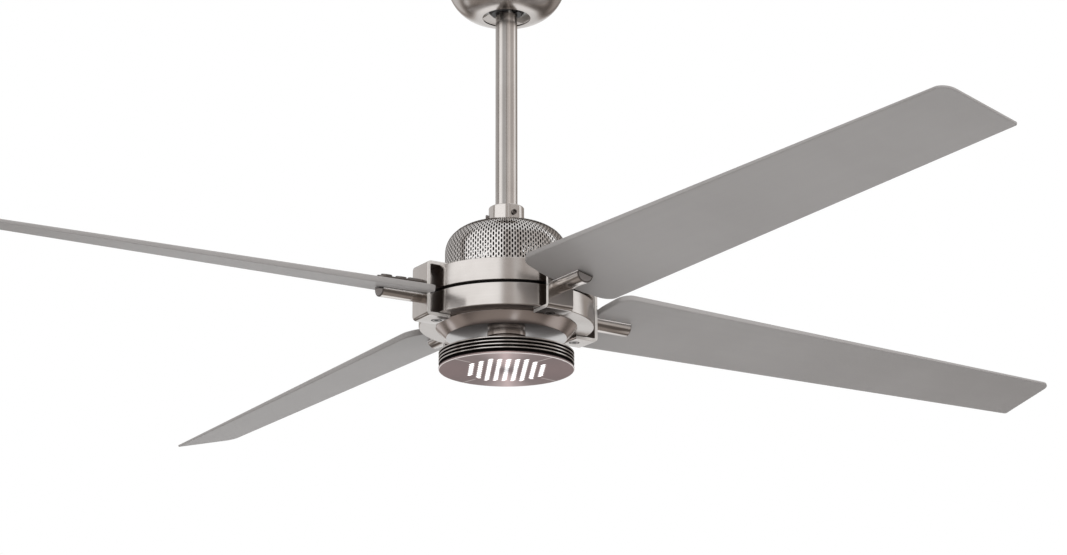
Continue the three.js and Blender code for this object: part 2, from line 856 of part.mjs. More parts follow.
function bearing(level) {
  const half = bearingHeight / 2;
  return tube(shaftRadius + seatGap, bearingRadius, level - half, level + half, tubeSides);
}

const bearingInset = coverPlate + seatGap + bearingHeight / 2;
const shaftTop = couplingFoot + shaftEngagement;
const shaftBottom = bandBottom - shaftTail;
addPiece("motor_shaft", tube(shaftBore, shaftRadius, shaftBottom, shaftTop, tubeSides), zincSteel);
addPiece("stator_core", statorCore(), darkSteel);
addPiece("stator_winding", statorWinding(), copper);
addPiece("upper_motor_cover", motorCover(bandTop, grooveTop), brushedNickel, drum);
addPiece("lower_motor_cover", motorCover(bandBottom, grooveBottom), brushedNickel, drum);
addPiece("rotor_ring", rotorRing(), darkSteel, drum);
addPiece("magnet_ring", magnetRing(), magnetBlack, drum);
addPiece("upper_bearing", bearing(bandTop - bearingInset), zincSteel, drum);
addPiece("lower_bearing", bearing(bandBottom + bearingInset), zincSteel, drum);

function hubBoss() {
  return revolve(
    [
      [bossHoleRadius, bossTop],
      [bossTopRadius, bossTop],
      [bossBottomRadius, bossBottom + bossEdge],
      [bossBottomRadius - bossEdge, bossBottom],
      [bossHoleRadius, bossBottom],
    ],
    drumSides,
  );
}

addPiece("hub_boss", hubBoss(), polishedNickel, drum);

// Light: neck, finned body, board, lens and face

function lightNeck() {
  const bore = shaftRadius + seatGap;
  const top = bossBottom + neckInside;
  const bottom = lightTop + seatGap;
  const waistTop = (bossBottom + lightTop + neckWaistHeight) / 2;
  const waistBottom = waistTop - neckWaistHeight;
  return revolve(
    [
      [bore, bottom],
      [neckRadius, bottom],
      [neckRadius, waistBottom],
      [neckWaist, waistBottom],
      [neckWaist, waistTop],
      [neckRadius, waistTop],
      [neckRadius, top],
      [bore, top],
    ],
    tubeSides,
  );
}

function lightBody() {
  const recess = ledBoard + lensPlate + 2 * seatGap;
  const recessRadius = ledBoardRadius + seatGap;
  const fins = Array.from({ length: finCount }, (_, i) => {
    const top = lightTop - lightTopPlate - finGap - i * (finThickness + finGap);
    return [
      [lightCoreRadius, top],
      [lightRadius, top],
      [lightRadius, top - finThickness],
      [lightCoreRadius, top - finThickness],
    ];
  }).flat();
  return revolve(
    [
      [wireBore, lightTop],
      [lightRadius, lightTop],
      [lightRadius, lightTop - lightTopPlate],
      [lightCoreRadius, lightTop - lightTopPlate],
      ...fins,
      [lightCoreRadius, lightBodyBottom],
      [recessRadius, lightBodyBottom],
      [recessRadius, lightBodyBottom + recess],
      [wireBore, lightBodyBottom + recess],
    ],
    drumSides,
  );
}

function ledRows(halfWidth, shorten) {
  const rows = ledRowHalfLengths.length;
  return Array.from({ length: 2 * rows - 1 }, (_, i) => {
    const place = i - rows + 1;
    const halfLength = ledRowHalfLengths[Math.abs(place)] - shorten;
    return slotOutline(place * ledRowSpacing, halfLength, halfWidth, 2 * cornerSteps);
  });
}

function faceDisc() {
  const disc = revolve(
    [
      [0, faceTop],
      [lightRadius, faceTop],
      [lightRadius, faceBottom + faceBevel],
      [lightRadius - faceBevel, faceBottom],
      [0, faceBottom],
    ],
    drumSides,
  );
  const rows = ledRows(ledRowWidth / 2, 0);
  return cut(disc, ...rows.map((row) => plate(row, [], faceBottom - cutOverrun, faceTop + cutOverrun)));
}

function lens() {
  const top = lightBodyBottom + lensPlate;
  const disc = rod(ledBoardRadius, lightBodyBottom, top, drumSides);
  const bars = ledRows(ledRowWidth / 2 - seatGap, seatGap).map((row) =>
    plate(row, [], faceBottom + lensInset, (lightBodyBottom + top) / 2),
  );
  return join(disc, ...bars);
}

const light = new THREE.Group();
light.rotation.z = THREE.MathUtils.degToRad(lightTurn);
fan.add(light);
const boardTop = lightBodyBottom + lensPlate + seatGap + ledBoard;
addPiece("light_neck", lightNeck(), brushedNickel, light);
addPiece("light_body", lightBody(), brushedNickel, light);
addPiece("led_board", rod(ledBoardRadius, boardTop - ledBoard, boardTop, drumSides), lampWhite, light);
addPiece("led_lens", lens(), lampWhite, light);
addPiece("light_face", faceDisc(), brushedNickel, light);

// Arms. Each is drawn along +X: radius along X, tangent along Y, counter-clockwise side at +Y.

const clampTop = bandTop + seatGap + clampPlate;
const clampBottom = bandBottom - seatGap - clampPlate;

// The blade's own frame: pitched about its axis, then drooped, about the drum's axis at the blades' level.
const bladeFrame = new THREE.Matrix4()
  .makeTranslation(0, 0, bladeLevel)
  .multiply(new THREE.Matrix4().makeRotationY(THREE.MathUtils.degToRad(bladeDroop)))
  .multiply(new THREE.Matrix4().makeRotationX(-THREE.MathUtils.degToRad(bladePitch)));

function bladeThickness(radius) {
  const share = (radius - bladeRootRadius) / (sweepRadius - bladeRootRadius);
  return bladeRootThickness + (bladeTipThickness - bladeRootThickness) * share;
}

// The blade's upper face over the holder, as a height in the blade's frame.
const bladeUpperFace = bladeThickness(clampOuter) / 2;
const holderTop = -bladeUpperFace - seatGap;
const topClampBottom = bladeUpperFace + seatGap;

function countersunkScrew() {
  return revolve(
    [
      [0, 0],
      [screwHeadRadius, 0],
      [screwShankRadius, -screwHeadHeight],
      [screwShankRadius, -screwLength],
      [0, -screwLength],
    ],
    screwSides,
  ).translate(clampScrewRadius, 0, 0);
}

function countersink() {
  const wide = screwHeadRadius + seatGap;
  const narrow = screwShankRadius + pinClearance;
  return revolve(
    [
      [0, cutOverrun],
      [wide + cutOverrun, cutOverrun],
      [wide, 0],
      [narrow, -screwHeadHeight],
      [narrow, -clampPlate - cutOverrun],
      [0, -clampPlate - cutOverrun],
    ],
    screwSides,
  ).translate(clampScrewRadius, 0, 0);
}

// A cutter for one clamp bolt, square to the blade, from one height to another in the blade's frame.
function boltHole(station, bottom, top) {
  return rod(boltRadius + pinClearance, bottom, top, screwSides).translate(clampOuter + station, 0, 0);
}

function bladeBracket() {
  const outline = softOutline(
    [
      [clampInner, clampBottom, 0],
      [clampOuter, clampBottom, clampBend],
      [clampOuter, clampTop, clampBend],
      [clampInner, clampTop, 0],
      [clampInner, clampTop - clampPlate, 0],
      [clampOuter - clampPlate, clampTop - clampPlate, clampBend - clampPlate],
      [clampOuter - clampPlate, clampBottom + clampPlate, clampBend - clampPlate],
      [clampInner, clampBottom + clampPlate, 0],
    ],
    cornerSteps,
  );
  const plateBody = sidewaysBar(outline, [], clampWidth);
  const round = rod(holderRadius, clampOuter - weldDepth, clampOuter + holderLength, tubeSides)
    .rotateY(Math.PI / 2)
    .translate(0, 0, holderTop);
  const above = block(
    clampOuter - weldDepth - cutOverrun,
    clampOuter + holderLength + cutOverrun,
    2 * (holderRadius + cutOverrun),
    holderTop,
    holderTop + holderRadius + cutOverrun,
  );
  const holeBottom = holderTop - boltBite - seatGap;
  const holes = boltStations.map((station) => boltHole(station, holeBottom, holderTop + cutOverrun));
  const drilled = cut(round, above, ...holes).applyMatrix4(bladeFrame);
  return cut(
    join(plateBody, drilled),
    countersink().translate(0, 0, clampTop),
    countersink().rotateX(Math.PI).translate(0, 0, clampBottom),
  );
}

function topClamp() {
  const start = clampOuter + seatGap;
  const end = start + topClampLength;
  const half = topClampWidth / 2;
  const strap = plate(
    softOutline([[start, -half, 0], [end, -half, half], [end, half, half], [start, half, 0]], curveSteps),
    [],
    topClampBottom,
    topClampBottom + topClampThickness,
  );
  const hump = rod(humpRadius, start, start + humpLength, tubeSides)
    .rotateY(Math.PI / 2)
    .translate(0, 0, topClampBottom);
  const below = block(
    start - cutOverrun,
    end,
    2 * (humpRadius + cutOverrun),
    topClampBottom - humpRadius - cutOverrun,
    topClampBottom,
  );
  const top = topClampBottom + humpRadius + cutOverrun;
  const holes = boltStations.map((station) => boltHole(station, topClampBottom - cutOverrun, top));
  return cut(join(strap, cut(hump, below)), ...holes).applyMatrix4(bladeFrame);
}

function clampBolt(station) {
  const seat = topClampBottom + topClampThickness + seatGap;
  const foot = holderTop - boltBite;
  return revolve(
    [
      [0, foot],
      [boltRadius, foot],
      [boltRadius, seat],
      [boltHeadRadius, seat],
      [boltHeadRadius, seat + boltHeadHeight / 2],
      [boltHeadRadius / 2, seat + boltHeadHeight],
      [0, seat + boltHeadHeight],
    ],
    screwSides,
  )
    .translate(clampOuter + station, 0, 0)
    .applyMatrix4(bladeFrame);
}

// A flat blade, tapered in width and thickness, with a slightly pointed root and soft corners. It is drawn one
// millimetre thick and then stretched to its thickness at each radius.
function blade() {
  const unitHalf = 0.5;
  const outline = softOutline(
    [
      [bladeRootRadius, rootFlatHalfWidth, 0],
      [bladeRootRadius, -rootFlatHalfWidth, 0],
      [bladeRootRadius + rootSetBack, -bladeRootHalfWidth, rootCorner],
      [sweepRadius, -bladeTipHalfWidth, tipCornerIn],
      [sweepRadius - tipSlant, bladeTipHalfWidth, tipCornerOut],
      [bladeRootRadius + rootSetBack, bladeRootHalfWidth, rootCorner],
    ],
    cornerSteps,
  );
  const slab = plate(outline, [], -unitHalf, unitHalf);
  const position = slab.getAttribute("position");
  for (let i = 0; i < position.count; i++) {
    const side = position.getZ(i) / unitHalf;
    position.setZ(i, (side * bladeThickness(position.getX(i))) / 2);
  }
  const reach = bladeRootThickness;
  return cut(slab, ...boltStations.map((station) => boltHole(station, -reach, reach))).applyMatrix4(bladeFrame);
}

armAngles().forEach((angle, i) => {
  const arm = new THREE.Group();
  arm.rotation.z = angle;
  drum.add(arm);
  const number = i + 1;
  addPiece("blade_bracket_" + number, bladeBracket(), brushedNickel, arm);
  addPiece("top_clamp_" + number, topClamp(), brushedNickel, arm);
  addPiece("blade_" + number, blade(), bladeSilver, arm);
  boltStations.forEach((station, j) => {
    addPiece("clamp_bolt_" + number + (j === 0 ? "a" : "b"), clampBolt(station), brushedNickel, arm);
  });
  addPiece("bracket_screw_top_" + number, countersunkScrew().translate(0, 0, clampTop), polishedNickel, arm);
  addPiece(
    "bracket_screw_bottom_" + number,
    countersunkScrew().rotateX(Math.PI).translate(0, 0, clampBottom),
    polishedNickel,
    arm,
  );
});

export default fan;
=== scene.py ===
# Ceiling fan: four silver blades in C brackets on a drum of two brushed bands, under a perforated cage, with a
# round lamp below. Sizes here are in millimetres and become metres when a mesh is made.
import math

import bpy
import numpy as np
from mathutils import Matrix, Vector
from mathutils.geometry import delaunay_2d_cdt


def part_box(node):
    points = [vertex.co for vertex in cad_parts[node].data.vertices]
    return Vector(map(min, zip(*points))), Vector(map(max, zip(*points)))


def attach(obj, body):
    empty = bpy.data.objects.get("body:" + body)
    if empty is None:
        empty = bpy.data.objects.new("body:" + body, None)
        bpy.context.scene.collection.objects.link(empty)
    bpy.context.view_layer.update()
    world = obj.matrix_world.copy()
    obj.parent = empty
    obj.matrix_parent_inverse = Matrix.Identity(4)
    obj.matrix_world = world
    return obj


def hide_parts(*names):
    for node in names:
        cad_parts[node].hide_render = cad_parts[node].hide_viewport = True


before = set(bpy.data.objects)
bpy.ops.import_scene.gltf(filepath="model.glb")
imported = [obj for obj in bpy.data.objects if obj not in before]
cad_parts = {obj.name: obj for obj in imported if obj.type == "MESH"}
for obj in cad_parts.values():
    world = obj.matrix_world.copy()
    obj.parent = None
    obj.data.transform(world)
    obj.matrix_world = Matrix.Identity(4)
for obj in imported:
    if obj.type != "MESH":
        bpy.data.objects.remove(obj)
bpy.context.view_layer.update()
mm = 0.001


# Lowest and highest corner of a CAD node, in millimetres.
def nodeBox(node):
    low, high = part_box(node)
    return np.array(low) / mm, np.array(high) / mm


# Shapes

weldGap = 2e-4  # points nearer than this coincide
mitreLimit = 0.35  # least cosine between a side's normal and its corner's, so that no sharp corner shoots out
flatStart = 1.35  # a slab's flat faces begin this many edge radii inside its outline


# Joins points that coincide, drops faces that are gone and turns a quad with a joined side into a triangle.
def weld(points, faces):
    keys = np.round(points / weldGap).astype(np.int64)
    _, first, whose = np.unique(keys, axis=0, return_index=True, return_inverse=True)
    faces = whose.reshape(-1)[faces]
    joined = faces == np.roll(faces, -1, axis=1)
    whole = faces[joined.sum(1) == 0]
    single = joined.sum(1) == 1
    reduced = faces[single][~joined[single]].reshape(-1, faces.shape[1] - 1)
    return points[first], [*whole.tolist(), *reduced.tolist()]


# The quads of a grid of points that closes on itself along its rows, and along its columns too if asked.
def gridFaces(rows, columns, closedRows=False):
    row = np.arange(rows if closedRows else rows - 1)[:, None] * columns
    column = np.arange(columns)
    nextRow, nextColumn = (row + columns) % (rows * columns), (column + 1) % columns
    return np.stack([row + column, row + nextColumn, nextRow + nextColumn, nextRow + column], -1).reshape(-1, 4)


# Each point of a closed line with the next one.
def roundPairs(line):
    return np.stack([line, np.roll(line, -1)], 1)


# Points about the axis: each is its radius out at its turn, and its level up.
def around(radius, turn, level):
    return np.stack(np.broadcast_arrays(radius * np.cos(turn), radius * np.sin(turn), level), -1).reshape(-1, 3)


# A mesh object from points in metres.
def newObject(name, points, faces, finishes):
    mesh = bpy.data.meshes.new(name)
    mesh.from_pydata(points, [], faces)
    for material in finishes:
        mesh.materials.append(material)
    made = bpy.data.objects.new(name, mesh)
    bpy.context.scene.collection.objects.link(made)
    return made


# A piece of the fan from points in millimetres. flat is each point's place on the piece's own pattern map, and
# kinds says which of the finishes each face has.
def makePiece(name, points, faces, body, node, finishes, flat=None, kinds=None, sharp=32):
    piece = newObject(name, (points * mm).tolist(), faces, finishes)
    mesh = piece.data
    if flat is not None:
        corner = np.empty(len(mesh.loops), np.int32)
        mesh.loops.foreach_get("vertex_index", corner)
        layer = mesh.uv_layers.new(name="pattern")
        layer.data.foreach_set("uv", (np.asarray(flat)[corner] * mm).astype(np.float32).ravel())
    if kinds is not None:
        mesh.polygons.foreach_set("material_index", np.asarray(kinds, np.int32))
    mesh.shade_smooth()
    mesh.set_sharp_from_angle(angle=math.radians(sharp))
    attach(piece, body)
    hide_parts(node)


# Vectors over their own lengths.
def unit(vectors):
    return vectors / np.maximum(np.linalg.norm(vectors, axis=1, keepdims=True), 1e-9)


# Rounds a closed outline. Each corner is x, y and a radius: its arc touches both sides, about a centre on the line
# that halves the corner, and turns evenly from one touching point to the other.
def rounded(corners, steps):
    table = np.array(corners, float)
    corner, radius = table[:, :2], table[:, 2]
    before, after = [unit(np.roll(corner, step, axis=0) - corner) for step in (1, -1)]
    half = np.arccos(np.clip((before * after).sum(1), -0.999999, 0.999999)) / 2
    centre = corner + unit(before + after) * (radius / np.sin(half))[:, None]
    start = corner + before * (radius / np.tan(half))[:, None] - centre
    end = corner + after * (radius / np.tan(half))[:, None] - centre
    sweep = (math.pi - 2 * half)[:, None, None]
    share = np.linspace(0, 1, steps + 1)[None, :, None]
    arc = (np.sin((1 - share) * sweep) * start[:, None] + np.sin(share * sweep) * end[:, None]) / np.sin(sweep)
    outline = (centre[:, None] + arc).reshape(-1, 2)
    return outline[np.linalg.norm(outline - np.roll(outline, 1, axis=0), axis=1) > 1e-3]


# Turns an outline so that its inside is on its left.
def anticlockwise(outline):
    x, y = outline.T
    area = (x * np.roll(y, -1) - np.roll(x, -1) * y).sum()
    return outline if area > 0 else outline[::-1]


# Surface of revolution: at place u along the profile and turn v, the point is radius(u) out at that turn and
# level(u) up. Where six is 1, the radius follows a hexagon's instead of a circle's.
def turned(profile, segments, six=None):
    turn = np.arange(segments) * 2 * math.pi / segments
    flatSided = 1 / np.cos((turn + math.pi / 6) % (math.pi / 3) - math.pi / 6)
    share = np.zeros(len(profile)) if six is None else np.asarray(six, float)
    radius = profile[:, :1] * (1 + share[:, None] * (flatSided[None, :] - 1))
    return weld(around(radius, turn, profile[:, 1:2]), gridFaces(len(profile), segments, closedRows=True))


# The mean of each face's corners.
def faceMiddles(points, faces):
    return np.array([points[face].mean(0) for face in faces])


# A turned piece about the fan's axis from its closed profile of radius, level and rounding.
def turnedPiece(name, corners, body, node, finishes, segments, steps=5, pick=None):
    points, faces = turned(anticlockwise(rounded(corners, steps)), segments)
    x, y, level = faceMiddles(points, faces).T
    kinds = None if pick is None else pick(np.hypot(x, y), level)
    makePiece(name, points, faces, body, node, finishes, kinds=kinds)


# A slab with rounded edges: the outline is carried from the lower face to the upper one. It is drawn in by the edge
# radius times one less the sine of the edge's turn, and set back from each face by one less the cosine. The faces
# are flat and end the slab. thickness, if given, scales the levels by where the point lies.
def slab(outline, low, high, edge, steps, thickness=None, edgeRise=None):
    outline = anticlockwise(outline)
    ahead = unit(np.roll(outline, -1, axis=0) - outline)
    own, left = [np.stack([-way[:, 1], way[:, 0]], 1) for way in (ahead, ahead + np.roll(ahead, 1, axis=0))]
    left = left / np.maximum((left * own).sum(1, keepdims=True), mitreLimit)
    turn = np.linspace(0, math.pi / 2, steps + 1)
    inset = edge * (1 - np.sin(turn))
    rise = (edge if edgeRise is None else edgeRise) * (1 - np.cos(turn))
    insets = np.concatenate([[flatStart * edge], inset, inset[::-1], [flatStart * edge]])
    levels = np.concatenate([[low], low + rise, high - rise[::-1], [high]])
    ring = outline[None] + left[None] * insets[:, None, None]
    level = levels[:, None] + 0 * ring[..., 0]
    if thickness is not None:
        level = level * thickness(ring[..., 0])
    count = len(outline)
    points = np.concatenate([ring, level[..., None]], -1).reshape(-1, 3)
    faces = gridFaces(len(levels), count).tolist()
    faces.append(list(range(count))[::-1])
    faces.append(list(range((len(levels) - 1) * count, len(levels) * count)))
    return points, faces


# Several shapes as one: their points end to end, with the faces counted on.
def together(*shapes):
    offset = np.cumsum([0] + [len(points) for points, _ in shapes])
    points = np.concatenate([points for points, _ in shapes])
    faces = [[int(i) + int(start) for i in face] for (_, those), start in zip(shapes, offset) for face in those]
    return points, faces


# Points turned and moved by a matrix.
def placed(points, matrix):
    return points @ np.array(matrix.to_3x3()).T + np.array(matrix.translation)


def turnedBy(degrees, axis):
    return Matrix.Rotation(math.radians(degrees), 4, axis)


# Where a shape that points up stands once it points out sideways, at a bearing, a distance out and a level.
def sideways(degrees, out, level):
    return turnedBy(degrees, "Z") @ Matrix.Translation((out, 0, level)) @ turnedBy(90, "Y")


# Shader maths

# A number, colour or vector in a node tree. Sums and products of them add the Math nodes.
class Wire:
    def __init__(self, sheet, made, output):
        self.sheet, self.made, self.socket = sheet, made, made.outputs[output]

    def other(self, output):
        return Wire(self.sheet, self.made, output)

    def __add__(self, value):
        return self.sheet.math("ADD", self, value)

    def __sub__(self, value):
        return self.sheet.math("SUBTRACT", self, value)

    def __rsub__(self, value):
        return self.sheet.math("SUBTRACT", value, self)

    def __mul__(self, value):
        return self.sheet.math("MULTIPLY", self, value)

    __radd__, __rmul__ = __add__, __mul__


# A node tree that nodes are added to, each by its type, its settings and the values or wires of its sockets.
class Sheet:
    def __init__(self, tree):
        self.tree = tree

    def node(self, kind, settings=None, inputs=None, output=0):
        made = self.tree.nodes.new("ShaderNode" + kind)
        for key, value in (settings or {}).items():
            setattr(made, key, value)
        for key, value in (inputs or {}).items():
            if isinstance(value, Wire):
                self.tree.links.new(value.socket, made.inputs[key])
            else:
                made.inputs[key].default_value = value
        return Wire(self, made, output)

    def math(self, operation, *values):
        return self.node("Math", {"operation": operation}, dict(enumerate(values)))

    def absolute(self, value):
        return self.math("ABSOLUTE", value)

    # Length of a flat vector
    def reach(self, x, y):
        return self.math("SQRT", x * x + y * y)

    # Angle of a flat direction from the near side, in degrees
    def bearing(self, right, near):
        return self.math("ARCTAN2", right, near) * (180 / math.pi)

    # Angle between two bearings, in degrees
    def between(self, bearing, middle):
        return self.absolute(self.math("WRAP", bearing - middle, 180.0, -180.0))

    # 0 below the first value, 1 above the second, and smooth between
    def rise(self, value, first, second):
        return self.node("MapRange", {"interpolation_type": "SMOOTHSTEP"}, {0: value, 1: first, 2: second})

    # 1 between two values, with soft sides
    def window(self, value, first, second, soft):
        up = self.rise(value, first - soft, first + soft)
        return up * (1 - self.rise(value, second - soft, second + soft))

    def mix(self, share, first, second, blend="MIX"):
        first, second = [colour if isinstance(colour, Wire) else (*colour, 1.0) for colour in (first, second)]
        return self.node("Mix", {"data_type": "RGBA", "blend_type": blend}, {0: share, 6: first, 7: second}, 2)

    # A colour made lighter or darker by a number
    def shade(self, colour, tone):
        return self.mix(1.0, colour, self.vector(tone, tone, tone), "MULTIPLY")

    def noise(self, vector, scale, detail, roughness=0.5):
        return self.node("TexNoise", None, {"Vector": vector, "Scale": scale, "Detail": detail,
                                            "Roughness": roughness})

    def objectPlace(self):
        return self.node("TexCoord", None, None, "Object")

    def patternPlace(self):
        return self.node("TexCoord", None, None, "UV")

    def parts(self, vector):
        x = self.node("SeparateXYZ", None, {0: vector})
        return x, x.other(1), x.other(2)

    def vector(self, x, y, z):
        return self.node("CombineXYZ", None, {0: x, 1: y, 2: z})

    def bump(self, height, strength, distance):
        return self.node("Bump", None, {"Height": height, "Strength": strength, "Distance": distance})


# A material whose surface sockets are given by a function of its sheet.
def finish(name, surface):
    material = bpy.data.materials.new(name)
    material.use_nodes = True
    tree = material.node_tree
    principled = tree.nodes["Principled BSDF"]
    for socket, value in surface(Sheet(tree)).items():
        if isinstance(value, Wire):
            tree.links.new(value.socket, principled.inputs[socket])
        else:
            principled.inputs[socket].default_value = value
    return material


print("finishes")


# Metal turned on a lathe: fine lines run round the axis, so they change with radius and level only.
def turnedMetal(name, light, dark, rough, spread, lines=0.05, clouds=0.05, extra=None, across=0.25):
    def surface(sheet):
        x, y, z = sheet.parts(sheet.objectPlace())
        radius = sheet.reach(x, y)
        along = radius + z
        fine = sheet.noise(sheet.vector(along * 2600, x * 6, y * 6), 1.0, 1.0)
        wide = sheet.noise(sheet.vector(along * 420, x * 3, y * 3), 1.0, 2.0)
        cloud = sheet.noise(sheet.objectPlace(), 14.0, 3.0, 0.6)
        tone = sheet.rise(cloud, 0.35, 0.7) * 0.5 + fine * 0.25 + wide * 0.25
        colour = sheet.mix(tone, dark, light)
        roughness = rough + (fine - 0.5) * lines + (cloud - 0.5) * clouds
        values = {"Base Color": colour, "Metallic": 1.0, "Roughness": roughness, "Anisotropic": spread,
                  "Anisotropic Rotation": across, "Normal": sheet.bump(fine + wide, 0.08, 0.0001)}
        if extra:
            values.update(extra(sheet, x, y, z, radius, colour, roughness))
        return values
    return finish(name, surface)


# Sheet metal brushed along its own length, read from the piece's pattern map.
def brushedMetal(name, light, dark, rough, extra=None):
    def surface(sheet):
        u, v, _ = sheet.parts(sheet.patternPlace())
        fine = sheet.noise(sheet.vector(u * 60, v * 2600, 0.0), 1.0, 1.0)
        wide = sheet.noise(sheet.vector(u * 20, v * 500, 3.0), 1.0, 2.0)
        cloud = sheet.noise(sheet.objectPlace(), 26.0, 3.0, 0.6)
        tone = fine * 0.3 + wide * 0.3 + sheet.rise(cloud, 0.3, 0.7) * 0.4
        colour = sheet.mix(tone, dark, light)
        roughness = rough + (fine - 0.5) * 0.08 + (cloud - 0.5) * 0.06
        values = {"Base Color": colour, "Metallic": 1.0, "Roughness": roughness,
                  "Normal": sheet.bump(fine + wide, 0.1, 0.0001)}
        if extra:
            values.update(extra(sheet, u, v, colour, roughness))
        return values
    return finish(name, surface)


grainHeight, flakeHeight = 0.00004, 0.00003


# Paint, plastic or coated metal with a fine grain and soft clouds.
def grainy(name, light, dark, rough, metallic=0.0, grain=1800.0, shine=0.5):
    def surface(sheet):
        place = sheet.objectPlace()
        speck = sheet.noise(place, grain, 1.0)
        cloud = sheet.noise(place, 18.0, 3.0, 0.6)
        tone = sheet.rise(speck, 0.3, 0.7) * 0.45 + sheet.rise(cloud, 0.3, 0.7) * 0.55
        return {"Base Color": sheet.mix(tone, dark, light), "Metallic": metallic,
                "Roughness": rough + (speck - 0.5) * 0.1 + (cloud - 0.5) * 0.08, "Specular IOR Level": shine,
                "Normal": sheet.bump(speck, 0.25, grainHeight)}
    return finish(name, surface)


# Painted reflections: soft light and dark stripes painted down a polished tube by bearing. Each has the bearing of its
# middle, half its width and its tone. Angles are in degrees about the fan's axis from the -Y side, right is positive.
def paintedReflectionStripes(sheet, x, y, z, radius, colour, roughness):
    bearing, tone = sheet.bearing(x, y * -1), 1.0
    for middle, half, change in rodPaintedReflections:
        off = sheet.between(bearing, middle)
        tone = (1 - sheet.rise(off, half * 0.3, half * 1.4)) * change + tone
    return {"Base Color": sheet.shade(colour, tone)}


# Painted reflection stripes on the down rod: bearing, half width and change of tone.
rodPaintedReflections = [(-88, 14, -0.3), (-44, 13, -0.54), (-17, 7, 0.5), (12, 6, 0.42), (28, 6, -0.2)]
nickel = (0.72, 0.685, 0.66), (0.59, 0.552, 0.525)
bandNickel = turnedMetal("brushed nickel band", *nickel, 0.24, 0.75)
rodNickel = turnedMetal("brushed nickel rod with painted reflections", *nickel, 0.2, 0.5, extra=paintedReflectionStripes)
canopyNickel = turnedMetal("brushed nickel canopy", *nickel, 0.22, 0.5)
cageNickel = turnedMetal("perforated nickel", (0.77, 0.742, 0.722), (0.67, 0.64, 0.62), 0.17, 0.0)
bossNickel = turnedMetal("turned nickel boss", (0.70, 0.635, 0.61), (0.60, 0.54, 0.515), 0.2, 0.6, 0.03)
flatNickel = turnedMetal("smooth flat underside", (0.68, 0.665, 0.66), (0.58, 0.565, 0.56), 0.12, 0.0, 0.03, 0.03)
neckNickel = turnedMetal("neck nickel", (0.62, 0.55, 0.51), (0.50, 0.44, 0.405), 0.2, 0.4)
# Blackened steel for hidden parts, and painted shade in sockets and in the groove between the bands.
darkSteelAndShade = grainy("blackened steel and painted shade", (0.022, 0.018, 0.015), (0.010, 0.008, 0.007), 0.55, 0.6, 900.0)
boltNickel = turnedMetal("bolt nickel", (0.5, 0.47, 0.455), (0.38, 0.355, 0.34), 0.26, 0.0)
screwDark = turnedMetal("dark screw steel", (0.19, 0.17, 0.16), (0.12, 0.105, 0.1), 0.22, 0.0)
collarNickel = turnedMetal("brushed nickel collar", *nickel, 0.15, 0.4)
seatScrew = turnedMetal("flush screw", (0.40, 0.37, 0.355), (0.27, 0.245, 0.235), 0.3, 0.0)
clampNickel = brushedMetal("clamp nickel", (0.20, 0.18, 0.17), (0.14, 0.125, 0.118), 0.26)
# The brackets' sawn sides are lighter, a painted highlight, and their insides dark, painted shade.
armEdgeHighlight = grainy("sawn edge with painted highlight", (0.80, 0.775, 0.75), (0.68, 0.655, 0.63), 0.3, 0.6, 900.0)
armInsideShade = grainy("bracket inside painted shade", (0.085, 0.06, 0.047), (0.06, 0.042, 0.033), 0.5, 0.2, 700.0)
# Near black paint for the shade in narrow gaps.
finGapShade = grainy("fin gap painted shade", (0.014, 0.011, 0.010), (0.008, 0.006, 0.006), 0.85, 0.0, 700.0, shine=0.08)
# The bars' dark rim and end paint shade, and their light side walls a highlight.
barRimShade = grainy("bar rim painted shade", (0.15, 0.13, 0.12), (0.105, 0.09, 0.082), 0.5, 0.5, 700.0)
# Dark paint on the lamp's top, so the boss's underside mirrors painted shade.
lampTopShade = grainy("lamp top painted shade", (0.26, 0.235, 0.225), (0.19, 0.17, 0.162), 0.5, 0.3, 700.0)
barEndShade = grainy("bar end painted shade", (0.42, 0.385, 0.37), (0.33, 0.30, 0.287), 0.4, 0.5, 900.0)
# A near white finish for the lamp face's bevel, a painted highlight.
lampEdgeHighlight = grainy("lamp edge painted highlight", (0.95, 0.90, 0.88), (0.86, 0.81, 0.79), 0.35, 0.2, 900.0)
barWallHighlight = grainy("bar side painted highlight", (0.97, 0.93, 0.91), (0.88, 0.84, 0.82), 0.3, 0.2, 900.0)
# Near black paint on the cage's inside, for the shade seen through its holes.
cageInsideShade = grainy("cage inside painted shade", (0.02, 0.017, 0.015), (0.012, 0.010, 0.009), 0.5, 0.4, 700.0)
zincPlate = grainy("zinc plate", (0.62, 0.62, 0.61), (0.48, 0.485, 0.48), 0.36, 1.0, 500.0)
machined = grainy("machined steel", (0.5, 0.49, 0.48), (0.4, 0.395, 0.385), 0.3, 1.0, 700.0)
blackPlastic = grainy("black plastic", (0.03, 0.03, 0.032), (0.018, 0.018, 0.019), 0.5)
ballPlastic = grainy("moulded ball", (0.05, 0.05, 0.052), (0.03, 0.03, 0.031), 0.42)
magnetBlack = grainy("magnet", (0.05, 0.05, 0.053), (0.03, 0.03, 0.032), 0.6, 0.3, 1200.0)
copperWire = grainy("wound copper", (0.62, 0.26, 0.12), (0.36, 0.13, 0.055), 0.35, 0.9, 800.0)
boardWhite = grainy("board white", (0.82, 0.82, 0.8), (0.74, 0.74, 0.72), 0.4)


